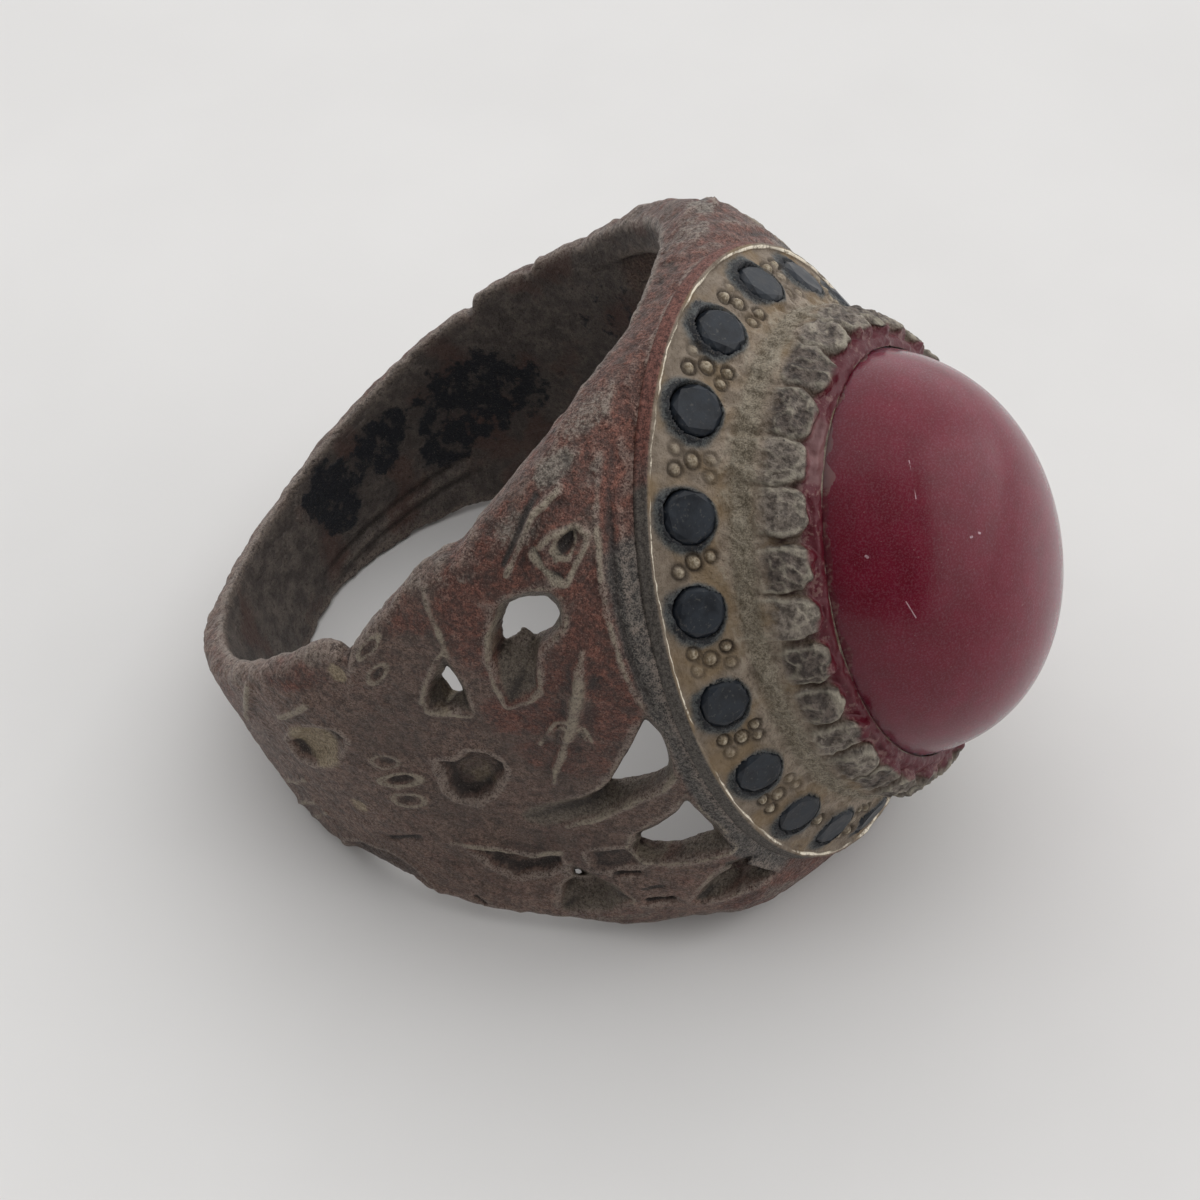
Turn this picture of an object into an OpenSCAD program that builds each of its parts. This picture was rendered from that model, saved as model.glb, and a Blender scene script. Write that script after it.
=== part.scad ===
// An old cast finger ring lying on its side: a pierced copper-alloy shank and head, a stone-set
// crown plate with a gadrooned collar, a tall red cabochon and a row of small dark cut stones.
// Each piece is drawn upright first, in the ring's own axes: x across the finger hole, y along
// the finger and z from the middle of the finger hole to the top of the stone. The last step
// lays the ring on its side as it rests by itself.

/* [Shank] */
// Diameter of the finger hole
bore_d = 19.4; // [18:0.1:20]
// Thickness of the shank's wall
wall_t = 1.0; // [0.8:0.1:1.2]
// Width of the shank at the back of the finger
back_w = 4.2; // [3.6:0.1:5]

/* [Head] */
// Height of the top of the head above the middle of the finger hole
head_z = 11.35; // [11.2:0.05:11.6]
// Width of the head across the finger
head_w = 18.2; // [17.8:0.1:18.6]
// Length of the head along the finger
head_l = 21.5; // [21.2:0.1:22]
// Height of the plain band round the top of the head
band_h = 0.7; // [0.5:0.05:0.75]
// Height of the groove below that band
groove_h = 0.2; // [0.1:0.05:0.25]

/* [Crown plate] */
// Height of the plate's outer edge
edge_h = 0.37; // [0.3:0.01:0.5]
// Height of the sloping face that holds the small stones
slope_h = 1.55; // [1.4:0.05:1.7]
// Height of the gadrooned collar above the slope
collar_h = 2.3; // [2:0.05:2.5]
// Number of lobes round the collar
lobe_count = 30; // [28:1:34]
// How far a lobe swells out of the collar
lobe_bulge = 0.3; // [0.1:0.05:0.4]
// Radius of one grain in the clusters between the small stones
grain_r = 0.2; // [0.15:0.01:0.25]

/* [Stones] */
// Width of the cabochon across the finger
cab_w = 12.1; // [11.6:0.1:12.1]
// Height of the cabochon above its widest line
cab_h = 6.2; // [5:0.1:6.6]
// Squareness of the cabochon's dome, where 2 is a plain ellipse
cab_n = 2.3; // [2:0.1:3]
// Diameter of a small cut stone over its corners
stone_d = 1.7; // [1.4:0.05:1.75]

/* [Hidden] */
// Turns of the small stones round the crown, which are not quite evenly spaced
STONE_TURNS = [
    30, 49.5, 69, 91, 111.5, 133, 151, 170, 188.5,
    207, 223.5, 242, 265, 287.5, 310, 330.5, 350.5, 370,
];
stone_count = len(STONE_TURNS);
STONE_NAMES = [for (i = [1:stone_count]) str("accent_stone_", i < 10 ? "0" : "", i)];

// Gap between pieces that are set into each other
gap = 0.05;
bore_r = bore_d / 2;
out_r = bore_r + wall_t;
// Length over width of the head, which the crown and the cabochon share
oval = head_l / head_w;

// The side of the head is a straight line that leaves the round shank where it is tangent
tangent_a = atan2(head_z, head_w / 2) - acos(out_r / norm([head_w / 2, head_z]));
tangent_x = out_r * cos(tangent_a);
tangent_z = out_r * sin(tangent_a);

// Half the ring's width along the finger. Columns: height z, half width
HALF_WIDTH = [
    [-out_r, back_w / 2],
    [-9.3, back_w / 2 + 0.75],
    [-5.35, 4.1],
    [0, 5.9],
    [5.35, 8.15],
    [9.3, 10.25],
    [head_z, head_l / 2],
];
// How square a level section is. Columns: height z, exponent of its superellipse
SQUARENESS = [
    [1.5, 12],
    [5.35, 8],
    [7.5, 4.8],
    [9.3, 3.6],
    [head_z, 2],
];
// How far the section's tips lie past the half width. Columns: height z, factor
TIP_REACH = [
    [0, 1.12],
    [5.35, 1.10],
    [7.5, 1.07],
    [9.3, 1.04],
    [head_z, 1],
];

function half_width(z) = lookup(z, HALF_WIDTH);
function tip_y(z) = half_width(z) * lookup(z, TIP_REACH);
function side_x(z) = z < tangent_z
    ? sqrt(max(out_r * out_r - z * z, 0))
    : tangent_x + (head_w / 2 - tangent_x) * (z - tangent_z) / (head_z - tangent_z);
function power(v, p) = sign(v) * pow(abs(v), p);

// Heights of the sections, closer together where the shank turns
band_z = head_z - band_h;
LOW_LEVELS = [for (a = [5, 12, 20, 30, 40, 52, 64, 76, 88]) -out_r * cos(a)];
HIGH_LEVELS = [tangent_z, 3.5, 5.35, 6.6, 7.5, 8.4, 9.3, band_z - groove_h];
TOP_LEVELS = [head_z - band_h + 0.02, head_z];
BODY_LEVELS = concat(LOW_LEVELS, HIGH_LEVELS, [band_z - groove_h + 0.04], TOP_LEVELS);
CAVITY_LEVELS = [tangent_z + 0.1, 3.5, 5.35, 6.6, 7.5, 8.4, 9.3, 10.4];
section_steps = 56;

// The groove under the band is a ring of sections that lies a little further in
groove_d = 0.12;
function groove_inset(z) = z > band_z - groove_h && z < band_z ? groove_d : 0;

// One level section of the body, moved in by a given amount
function section(z, inset_x, inset_y) = [
    for (i = [0:section_steps - 1])
        let (
            a = 360 * i / section_steps,
            p = 2 / lookup(z, SQUARENESS),
            rx = side_x(z) - inset_x - groove_inset(z),
            ry = tip_y(z) - inset_y - groove_inset(z)
        )
        [rx * power(cos(a), p), ry * power(sin(a), p), z]
];

// A solid skinned over a stack of closed rings with the same number of points
module skin(rings) {
    n = len(rings[0]);
    m = len(rings);
    points = [for (ring = rings) for (p = ring) p];
    sides = [
        for (j = [0:m - 2])
            for (i = [0:n - 1])
                let (a = j * n + i, b = j * n + (i + 1) % n)
                    for (face = [[a, a + n, b + n], [a, b + n, b]]) face
    ];
    floor_face = [[for (i = [0:n - 1]) i]];
    top_face = [[for (i = [n - 1:-1:0]) (m - 1) * n + i]];
    polyhedron(points = points, faces = concat(floor_face, sides, top_face));
}

// The front outline of the ring, pushed through from side to side
module front_prism() {
    last = len(HALF_WIDTH) - 1;
    right = [for (row = HALF_WIDTH) [row[1], row[0]]];
    left = [for (i = [last:-1:0]) [-HALF_WIDTH[i][1], HALF_WIDTH[i][0]]];
    rotate([90, 0, 90])
        translate([0, 0, -out_r - 1])
            linear_extrude(2 * out_r + 2)
                polygon(concat(right, left));
}

// The hollow behind each shoulder. The middle stays full under the crown
cavity_end = 1.2;
FLOOR_OUTLINE = [[-5.4, 7.9], [5.4, 7.9], [7.1, head_z], [-7.1, head_z]];
module shoulder_hollow() {
    difference() {
        skin([for (z = CAVITY_LEVELS) section(z, wall_t, cavity_end + wall_t)]);
        rotate([90, 0, 0])
            linear_extrude(2 * head_l, center = true)
                polygon(FLOOR_OUTLINE);
    }
}

module finger_hole() {
    rotate([90, 0, 0])
        cylinder(h = 2 * head_l, r = bore_r, center = true, $fn = 96);
}

// Places on a shoulder are given by u, the height z, and v, the place along the finger
function on_surface(u, v) = [
    -side_x(u) * pow(1 - pow(abs(v) / tip_y(u), lookup(u, SQUARENESS)), 1 / lookup(u, SQUARENESS)),
    v,
    u
];
function unit(v) = v / norm(v);
function slope_u(u, v) = unit(on_surface(u + 0.1, v) - on_surface(u - 0.1, v));
function slope_v(u, v) = on_surface(u, v + 0.1) - on_surface(u, v - 0.1);
function outward(u, v) = unit(cross(slope_u(u, v), slope_v(u, v)));

// Moves a drawing so that its x runs up the shoulder, its y along the finger and its z outward
module on_shoulder(u, v) {
    ax = slope_u(u, v);
    az = outward(u, v);
    ay = cross(az, ax);
    p = on_surface(u, v);
    multmatrix([
        [ax[0], ay[0], az[0], p[0]],
        [ax[1], ay[1], az[1], p[1]],
        [ax[2], ay[2], az[2], p[2]],
        [0, 0, 0, 1]
    ])
        children();
}

// Openings cut through the shoulder. Columns: centre u, centre v, corners from that centre
PIERCINGS = [
    [8.3, 6.6, [[-1.0, -0.7], [0.1, -0.6], [0.8, -0.4], [1.0, 0], [0.8, 0.6], [-0.2, 0.6], [-0.6, 0]]],
    [9.7, 0.9, [[-1.3, -1.0], [0.6, -0.8], [0.8, 0.4], [0.7, 1.2], [-0.5, -0.1]]],
    [9.5, -2.7, [[-1.4, -0.1], [-0.5, -0.7], [1.0, -0.5], [0.8, 0.9], [-0.4, 0.5]]],
    [9.7, -6.4, [[-1.0, -0.4], [0.7, -0.5], [0.6, 0.8]]],
];
// Small openings that are clear on one shoulder only, with the same columns
SLIVERS = [
    [5.1, 4.7, [[-0.2, -0.4], [0.3, -0.7], [0.1, 0.7]]],
    [5.5, -4.5, [[-0.3, -0.2], [0.4, -0.2], [-0.1, 0.2]]],
];
// Shallow recesses. Columns: centre u, centre v, depth, corners from that centre
RECESSES = [
    [7.3, 4.9, 0.45, [[-0.75, -1.35], [0.35, -1.0], [0.55, -0.4], [1.2, 1.1], [0.15, 1.3], [-0.55, 0.5]]],
    [4.7, 4.3, 0.45, [[0.55, 1.3], [-0.25, 0.5], [-0.9, -0.4], [-0.9, -0.75], [0.3, -0.95], [0.65, 0.7]]],
    [6.6, -1.5, 0.4, [[-2.0, 0], [-0.7, 0.5], [1.3, 0.8], [2.1, 0.2], [0.2, -0.5], [-1.9, -0.5]]],
    [9.2, -3.8, 0.4, [[1.2, 0.7], [1.2, -0.6], [0.6, -0.7], [-0.7, -0.6], [-1.3, -0.2], [-1.1, 0.7]]],
    [5.2, -5.6, 0.45, [[0.1, 1.4], [0.75, 0.85], [1.25, -0.6], [0.5, -1.1], [-1.3, -1.0], [-0.6, 0.5]]],
    [3.4, -3.7, 0.3, [[-1.3, 0.85], [0.7, 0.15], [1.5, -0.1], [0.8, -0.8], [-0.2, -0.8], [-0.9, -0.2]]],
    [-2.0, -4.0, 0.3, [[-1.35, 0.4], [-0.4, 0.8], [0.7, 0.6], [1.2, -0.2], [1.0, -0.8], [-0.6, -0.6]]],
    [-1.3, 2.1, 0.35, [[-1.25, -0.8], [-0.1, -0.8], [1.4, 0.6], [0.6, 1.0], [-0.3, 0.8], [-1.35, -0.1]]],
    [7.4, -6.4, 0.35, [[-0.5, -0.1], [0.5, -0.15], [0.5, 0.05], [-0.5, 0.1]]],
    [7.0, -4.75, 0.3, [[-0.35, -0.1], [0.35, -0.1], [0.35, 0.1], [-0.35, 0.1]]],
];
// Round blind recesses. Columns: centre u, centre v, radius, depth
PITS = [
    [3.8, 0.4, 0.9, 0.4],
    [9.6, 8.2, 0.3, 0.4],
];
// Small punched marks. Columns: centre u, centre v
PUNCHES = [
    [3.0, 6.4], [2.8, 5.4], [2.5, 4.2], [1.1, 1.5], [1.3, 0.6], [1.1, -0.3], [-1.2, -0.9],
];
// Raised rings. Columns: centre u, centre v, middle radius
RIMS = [
    [3.8, 0.4, 1.1],
    [9.6, 8.1, 0.6],
];
// Raised bars. Columns: first u, first v, last u, last v
BARS = [
    [9.6, 5.1, 8.2, 2.5],
    [8.2, 2.5, 6.5, 0],
    [8.0, 2.5, 6.8, 1.6],
    [8.3, 2.3, 8.5, 1.5],
    [7.1, 6.2, 6.5, 3.6],
    [6.5, 3.5, 7.7, 3.9],
    [9.7, 9.3, 8.1, 8.0],
    [5.8, -2.3, 9.6, -1.0],
    [1.6, -2.5, 4.0, -3.4],
    [-2.2, 3.4, -0.5, 4.1],
    [-4.5, 2.5, -3.2, 4.1],
    [-5.2, -1.2, -3.4, -0.2],
    [-6.0, -2.6, -3.9, -1.4],
];
relief_h = 0.16;
relief_w = 0.26;
relief_sink = 0.3;
pierce_depth = 1.9;
punch_r = 0.22;
punch_d = 0.2;
// Height above the shoulder at which each cut starts, clear of the raised relief
cut_start = 1;

module pierce(rows) {
    for (row = rows)
        on_shoulder(row[0], row[1])
            translate([0, 0, -pierce_depth])
                linear_extrude(pierce_depth + cut_start)
                    polygon(row[2]);
}

module sink_recesses() {
    for (row = RECESSES)
        on_shoulder(row[0], row[1])
            translate([0, 0, -row[2]])
                linear_extrude(row[2] + cut_start)
                    polygon(row[3]);
    for (row = PITS)
        on_shoulder(row[0], row[1])
            translate([0, 0, -row[3]])
                cylinder(h = row[3] + cut_start, r = row[2], $fn = 24);
    for (row = PUNCHES)
        on_shoulder(row[0], row[1])
            translate([0, 0, -punch_d])
                cylinder(h = punch_d + cut_start, r = punch_r, $fn = 8);
}

module raised_relief() {
    for (row = RIMS)
        on_shoulder(row[0], row[1])
            translate([0, 0, -relief_sink])
                difference() {
                    cylinder(h = relief_sink + relief_h, r = row[2] + relief_w / 2, $fn = 24);
                    translate([0, 0, -relief_sink])
                        cylinder(h = 3 * relief_sink, r = row[2] - relief_w / 2, $fn = 24);
                }
    for (row = BARS)
        let (
            along = [row[2] - row[0], row[3] - row[1]],
            middle = [(row[0] + row[2]) / 2, (row[1] + row[3]) / 2]
        )
        on_shoulder(middle[0], middle[1])
            rotate([0, 0, atan2(along[1], along[0])])
                translate([-norm(along) / 2, -relief_w / 2, -relief_sink])
                    cube([norm(along), relief_w, relief_sink + relief_h]);
}

// Worn notches in the rims. Columns: side of the ring, end along the finger, height z, depth
NOTCHES = [
    [-1, 1, 1.7, 0.6],
    [-1, 1, 5.4, 0.2],
    [-1, -1, -4.2, 0.3],
    [1, 1, -3.7, 0.3],
    [1, 1, 0.6, 0.35],
    [1, -1, -2.5, 0.35],
];
notch_r = 0.75;
module rim_notches() {
    for (row = NOTCHES)
        translate([row[0] * out_r, row[1] * (half_width(row[2]) + notch_r - row[3]), row[2]])
            rotate([0, 90, 0])
                cylinder(h = 8, r = notch_r, center = true, $fn = 24);
}

module upright_body() {
    difference() {
        union() {
            difference() {
                intersection() {
                    skin([for (z = BODY_LEVELS) section(z, 0, 0)]);
                    front_prism();
                }
                shoulder_hollow();
            }
            raised_relief();
            mirror([1, 0, 0])
                raised_relief();
        }
        finger_hole();
        pierce(PIERCINGS);
        pierce(SLIVERS);
        sink_recesses();
        mirror([1, 0, 0])
            pierce(PIERCINGS);
        mirror([1, 0, 0])
            sink_recesses();
        rim_notches();
    }
}

// The crown plate. Radii are shares of the head's half width and half length
crown_z = head_z + gap;
slope_z = crown_z + edge_h;
collar_z = slope_z + slope_h;
collar_top = collar_z + collar_h;
foot_share = 0.79;
lip_share = 0.975;
cab_share = cab_w / head_w;
seat_share = cab_share + gap / (head_w / 2);
seat_z = collar_z - 0.4;
lobe_steps = 6;
// Turn of the middle of the first lobe
lobe_turn = 8.9;
// How far even steps along the oval run ahead of the angle
oval_lead = (oval - 1) / (oval + 1) / 2 * 180 / PI;
crown_steps = lobe_count * lobe_steps;

// Profile of the crown. Columns: share of the radius, height z, how much the lobes swell there
CROWN_PROFILE = [
    [1, crown_z, 0],
    [1, slope_z - 0.04, 0],
    [0.99, slope_z, 0],
    [lip_share, slope_z - 0.06, 0],
    [foot_share, collar_z, 0],
    [foot_share - 0.005, collar_z + 0.15 * collar_h, 0.75],
    [foot_share - 0.02, collar_z + 0.4 * collar_h, 1],
    [foot_share - 0.045, collar_z + 0.65 * collar_h, 1],
    [foot_share - 0.08, collar_z + 0.88 * collar_h, 0.6],
    [seat_share + 0.015, collar_top, 0.1],
    [seat_share, collar_top, 0],
    [seat_share, seat_z, 0],
];
function even_turn(a) = a + oval_lead * sin(2 * a) - lobe_turn;
function lobe_wave(a) = abs(cos(lobe_count * even_turn(a) / 2)) - 0.35;
function crown_ring(row) = [
    for (i = [0:crown_steps - 1])
        let (
            a = 360 * i / crown_steps,
            swell = row[2] * lobe_bulge * lobe_wave(a),
            rx = row[0] * head_w / 2 + swell,
            ry = row[0] * head_l / 2 + swell
        )
        [rx * cos(a), ry * sin(a), row[1]]
];

// The small stones sit in the middle of the slope, facing out at its angle
slope_share = 0.885;
slope_run = (lip_share - foot_share) * head_w / 2;
slope_tilt = atan2(slope_h + 0.06, slope_run);
stone_z = collar_z - (slope_share - foot_share) / (lip_share - foot_share) * (slope_h + 0.06);
function oval_point(a, share) = [share * head_w / 2 * cos(a), share * head_l / 2 * sin(a)];
function facing(a) = atan2(sin(a), oval * cos(a));

// Moves a drawing onto the crown's slope at a turn a, with its z square to the slope
module on_slope(a, share, z) {
    translate(concat(oval_point(a, share), z))
        rotate([0, 0, facing(a)])
            rotate([0, slope_tilt, 0])
                children();
}

// Turn that keeps the corners of seats and grains off the edges of the faces of the slope
corner_turn = 20;
// One grain of a cluster is a small dome with a flat top
module grain() {
    rotate([0, 0, corner_turn])
        hull() {
            translate([0, 0, -0.1])
                cylinder(h = 0.17, r = grain_r, $fn = 6);
            cylinder(h = 0.15, r = grain_r / 2, $fn = 6);
        }
}

// Places of the grains of one cluster. Columns: down the slope, along the ring
CLUSTER = [[-0.5, -0.25], [-0.5, 0.25], [0, 0], [0.55, -0.25], [0.55, 0.25]];
function next_turn(i) = i < stone_count - 1 ? STONE_TURNS[i + 1] : STONE_TURNS[0] + 360;
// Turn halfway from one stone to the next
function between(i) = (STONE_TURNS[i] + next_turn(i)) / 2;
function stone_place(a) = oval_point(a, slope_share);
function stone_step(i) = norm(stone_place(next_turn(i)) - stone_place(STONE_TURNS[i]));
// How far from the middle between two stones a grain can lie without touching their seats
grain_clear = 0.05;
function grain_room(i) = stone_step(i) / 2 - stone_d / 2 - gap - grain_r - grain_clear;

module upright_crown() {
    difference() {
        union() {
            skin_crown();
            for (i = [0:stone_count - 1])
                on_slope(between(i), slope_share, stone_z)
                    for (spot = CLUSTER)
                        if (abs(spot[1]) < grain_room(i))
                            translate([spot[0], spot[1], 0])
                                grain();
        }
        for (i = [0:stone_count - 1])
            on_slope(STONE_TURNS[i], slope_share, stone_z)
                translate([0, 0, -stone_depth - gap])
                    rotate([0, 0, corner_turn])
                        cylinder(h = stone_depth + cut_start, r = stone_d / 2 + gap, $fn = 16);
    }
}

module skin_crown() {
    skin([for (row = CROWN_PROFILE) crown_ring(row)]);
}

// The cabochon: its side below the widest line tapers a little, the dome is a superellipse
cab_z = collar_z + 0.45;
cab_bottom = seat_z + gap;
cab_steps = 48;
DOME_STEPS = [0, 0.12, 0.25, 0.38, 0.5, 0.62, 0.73, 0.82, 0.89, 0.94, 0.97, 0.99, 0.998];
function dome_share(t) = pow(1 - pow(t, cab_n), 1 / cab_n);
function cab_ring(share, z) = [
    for (i = [0:cab_steps - 1])
        let (a = 360 * i / cab_steps)
            concat(oval_point(a, share * cab_share), z)
];
module upright_cabochon() {
    dome = [for (t = DOME_STEPS) cab_ring(dome_share(t), cab_z + cab_h * t)];
    skin(concat([cab_ring(0.97, cab_bottom)], dome));
}

// A small cut stone: an eight-sided table, eight crown facets, a girdle and a pointed back
stone_depth = 0.45;
stone_rise = 0.3;
girdle_h = 0.1;
table_share = 0.62;
STONE_PROFILE = [
    [0.12, -stone_depth],
    [1, -girdle_h],
    [1, 0],
    [table_share, stone_rise],
];
module cut_stone() {
    skin([
        for (row = STONE_PROFILE)
            [for (i = [0:7]) [
                row[0] * stone_d / 2 * cos(45 * i + 22.5),
                row[0] * stone_d / 2 * sin(45 * i + 22.5),
                row[1]
            ]]
    ]);
}
module upright_stone(i) {
    on_slope(STONE_TURNS[i], slope_share, stone_z)
        cut_stone();
}

// At rest the ring touches the surface near the back of the shank and at the shoulders' corners
low_z = HALF_WIDTH[1][0];
low_w = HALF_WIDTH[1][1];
corner_z = HALF_WIDTH[5][0];
corner_w = HALF_WIDTH[5][1];
rest_tilt = atan2(corner_w - low_w, corner_z - low_z);
rest_lift = corner_w * cos(rest_tilt) - corner_z * sin(rest_tilt);
// The origin lies below the middle of the ring's whole length
function reach(y, z) = z * cos(rest_tilt) - y * sin(rest_tilt);
dome_reach = max([
    for (t = [0:0.02:1])
        reach(-cab_share * head_l / 2 * dome_share(t), cab_z + cab_h * t)
]);
back_reach = reach(back_w / 2, -out_r);
rest_shift = (dome_reach + back_reach) / 2;
module lay_down() {
    translate([0, rest_shift, rest_lift])
        rotate([90 - rest_tilt, 0, 0])
            children();
}

module ring_body() {
    color([0.43, 0.29, 0.25])
        lay_down()
            upright_body();
}
module crown() {
    color([0.49, 0.44, 0.35])
        lay_down()
            upright_crown();
}
module cabochon() {
    color([0.42, 0.06, 0.13])
        lay_down()
            upright_cabochon();
}
module accent_stone(i) {
    color([0.12, 0.14, 0.18])
        lay_down()
            upright_stone(i);
}

ring_body();
crown();
cabochon();
for (i = [0:stone_count - 1])
    accent_stone(i);
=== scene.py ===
"""Looks of the old cast ring: its CAD nodes are replaced by worn, cast-looking pieces of the same
size. All shapes are made in the ring's own axes, in millimetres: x across the finger hole, y along
the finger, z from the middle of the hole to the top of the stone. They are then laid on the side."""
import collections
import itertools
import math

import bpy
import numpy as np
import openvdb as vdb
from mathutils import Matrix, Vector


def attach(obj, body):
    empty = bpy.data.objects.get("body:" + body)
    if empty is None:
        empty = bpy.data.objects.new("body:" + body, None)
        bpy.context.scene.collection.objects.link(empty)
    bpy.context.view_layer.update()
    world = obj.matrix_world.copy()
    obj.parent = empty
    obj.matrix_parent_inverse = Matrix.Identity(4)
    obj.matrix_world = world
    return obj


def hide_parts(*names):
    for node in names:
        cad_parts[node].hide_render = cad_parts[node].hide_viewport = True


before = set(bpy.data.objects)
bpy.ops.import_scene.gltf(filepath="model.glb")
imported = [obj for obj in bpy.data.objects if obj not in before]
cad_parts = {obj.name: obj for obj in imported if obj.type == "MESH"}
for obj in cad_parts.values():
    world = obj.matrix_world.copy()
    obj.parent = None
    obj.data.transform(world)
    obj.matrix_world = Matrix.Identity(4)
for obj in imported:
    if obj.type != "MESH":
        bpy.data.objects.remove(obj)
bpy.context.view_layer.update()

# The ring's own sizes, as in the CAD
BORE_R, OUT_R = 9.7, 10.7
HEAD_Z, HEAD_RX, HEAD_RY = 11.35, 9.1, 10.75
TANGENT = math.atan2(HEAD_Z, HEAD_RX) - math.acos(OUT_R / math.hypot(HEAD_RX, HEAD_Z))
TX, TZ = OUT_R * math.cos(TANGENT), OUT_R * math.sin(TANGENT)
SIDE_LEN = math.hypot(HEAD_Z - TZ, TX - HEAD_RX)
# Half width along the finger. Columns: height z, half width
WIDTHS = np.array([(-10.7, 2.1), (-9.3, 2.85), (-5.35, 4.1), (0, 5.9), (5.35, 8.15), (9.3, 10.25),
                   (11.35, 10.75)])
# How far a level section's tips lie past the half width. Columns: height z, factor
TIPS = np.array([(0, 1.12), (5.35, 1.1), (7.5, 1.07), (9.3, 1.04), (11.35, 1.0)])
# How square a level section is. Columns: height z, exponent of its superellipse
SQUARE = np.array([(1.5, 12), (5.35, 8), (7.5, 4.8), (9.3, 3.6), (11.35, 2.0)])
# It rests on its rims at the heights -REST_Z and REST_Z, which have these half widths
REST_Z, BACK_W, SHOULDER_W = 9.3, 2.85, 10.25
REST_TILT = math.atan2(SHOULDER_W - BACK_W, 2 * REST_Z)
LIFT = SHOULDER_W * math.cos(REST_TILT) - REST_Z * math.sin(REST_TILT)
SHIFT = 4.307871
LAY = np.array([[1, 0, 0],
                [0, math.sin(REST_TILT), -math.cos(REST_TILT)],
                [0, math.cos(REST_TILT), math.sin(REST_TILT)]])


def to_world(p):
    """Ring axes in mm to the row's frame in metres."""
    return (p @ LAY.T + np.array([0, SHIFT, LIFT])) / 1000


def to_ring(p):
    return (p * 1000 - np.array([0, SHIFT, LIFT])) @ LAY


# Small maths
def step(x, lo, hi):
    """From 0 to 1 as x goes from lo to hi, smooth at both ends."""
    t = np.clip((x - lo) / (hi - lo), 0, 1)
    return t * t * (3 - 2 * t)


def bell(x, width):
    return np.exp(-(x / width) ** 2)


def smax(a, b, k):
    """The larger of a and b, rounded off where they are within k."""
    h = np.maximum(k - np.abs(a - b), 0) / k
    return np.maximum(a, b) + h * h * (k / 4)


TABLES = {}


def noise(p, cell, seed):
    """Smooth value noise from -1 to 1 at points p of any dimension."""
    n, dim = 32, p.shape[1]
    if (seed, dim) not in TABLES:
        TABLES[seed, dim] = np.random.default_rng(seed).uniform(-1, 1, (n,) * dim).astype(np.float32)
    t = TABLES[seed, dim]
    q = p / cell + 64
    i = np.floor(q).astype(np.int32)
    f = (q - i).astype(np.float32)
    f = f * f * (3 - 2 * f)
    out = np.zeros(len(p), np.float32)
    for corner in range(2 ** dim):
        bits = [(corner >> k) & 1 for k in range(dim)]
        w = np.ones(len(p), np.float32)
        for k, b in enumerate(bits):
            w *= f[:, k] if b else 1 - f[:, k]
        out += w * t[tuple((i[:, k] + b) % n for k, b in enumerate(bits))]
    return out


def fractal(p, cell, seed, octaves=3, keep=0.55):
    out, amp = 0, 1
    for k in range(octaves):
        out = out + amp * noise(p, cell / 2 ** k, seed + 31 * k)
        amp *= keep
    return out


def grid_noise(axes, cell, seed):
    """The same kind of noise over a whole regular grid, axis by axis."""
    rng = np.random.default_rng(seed)
    mats = []
    for ax in axes:
        q = (ax - ax[0]) / cell
        i = np.floor(q).astype(int)
        f = q - i
        f = f * f * (3 - 2 * f)
        m = np.zeros((len(ax), i[-1] + 2), np.float32)
        m[np.arange(len(ax)), i] = 1 - f
        m[np.arange(len(ax)), i + 1] = f
        mats.append(m)
    a = rng.uniform(-1, 1, [m.shape[1] for m in mats]).astype(np.float32)
    a = np.tensordot(mats[0], a, (1, 0))
    a = np.tensordot(a, mats[1], (1, 1)).transpose(0, 2, 1)
    return a @ mats[2].T


# The shoulder's map
# Places on a shoulder: s runs up its side from where the straight part starts (0) to the top of the
# head (9.86) and down round the shank (below 0); v is the place along the finger.
STEP = 0.04  # between the map's points, in mm
S0, V0 = -18.6, -11.6
S, V = np.meshgrid(np.arange(S0, 10.4, STEP), np.arange(V0, 11.61, STEP), indexing="ij")
FLAT = np.stack([S.ravel(), V.ravel()], 1)

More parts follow.
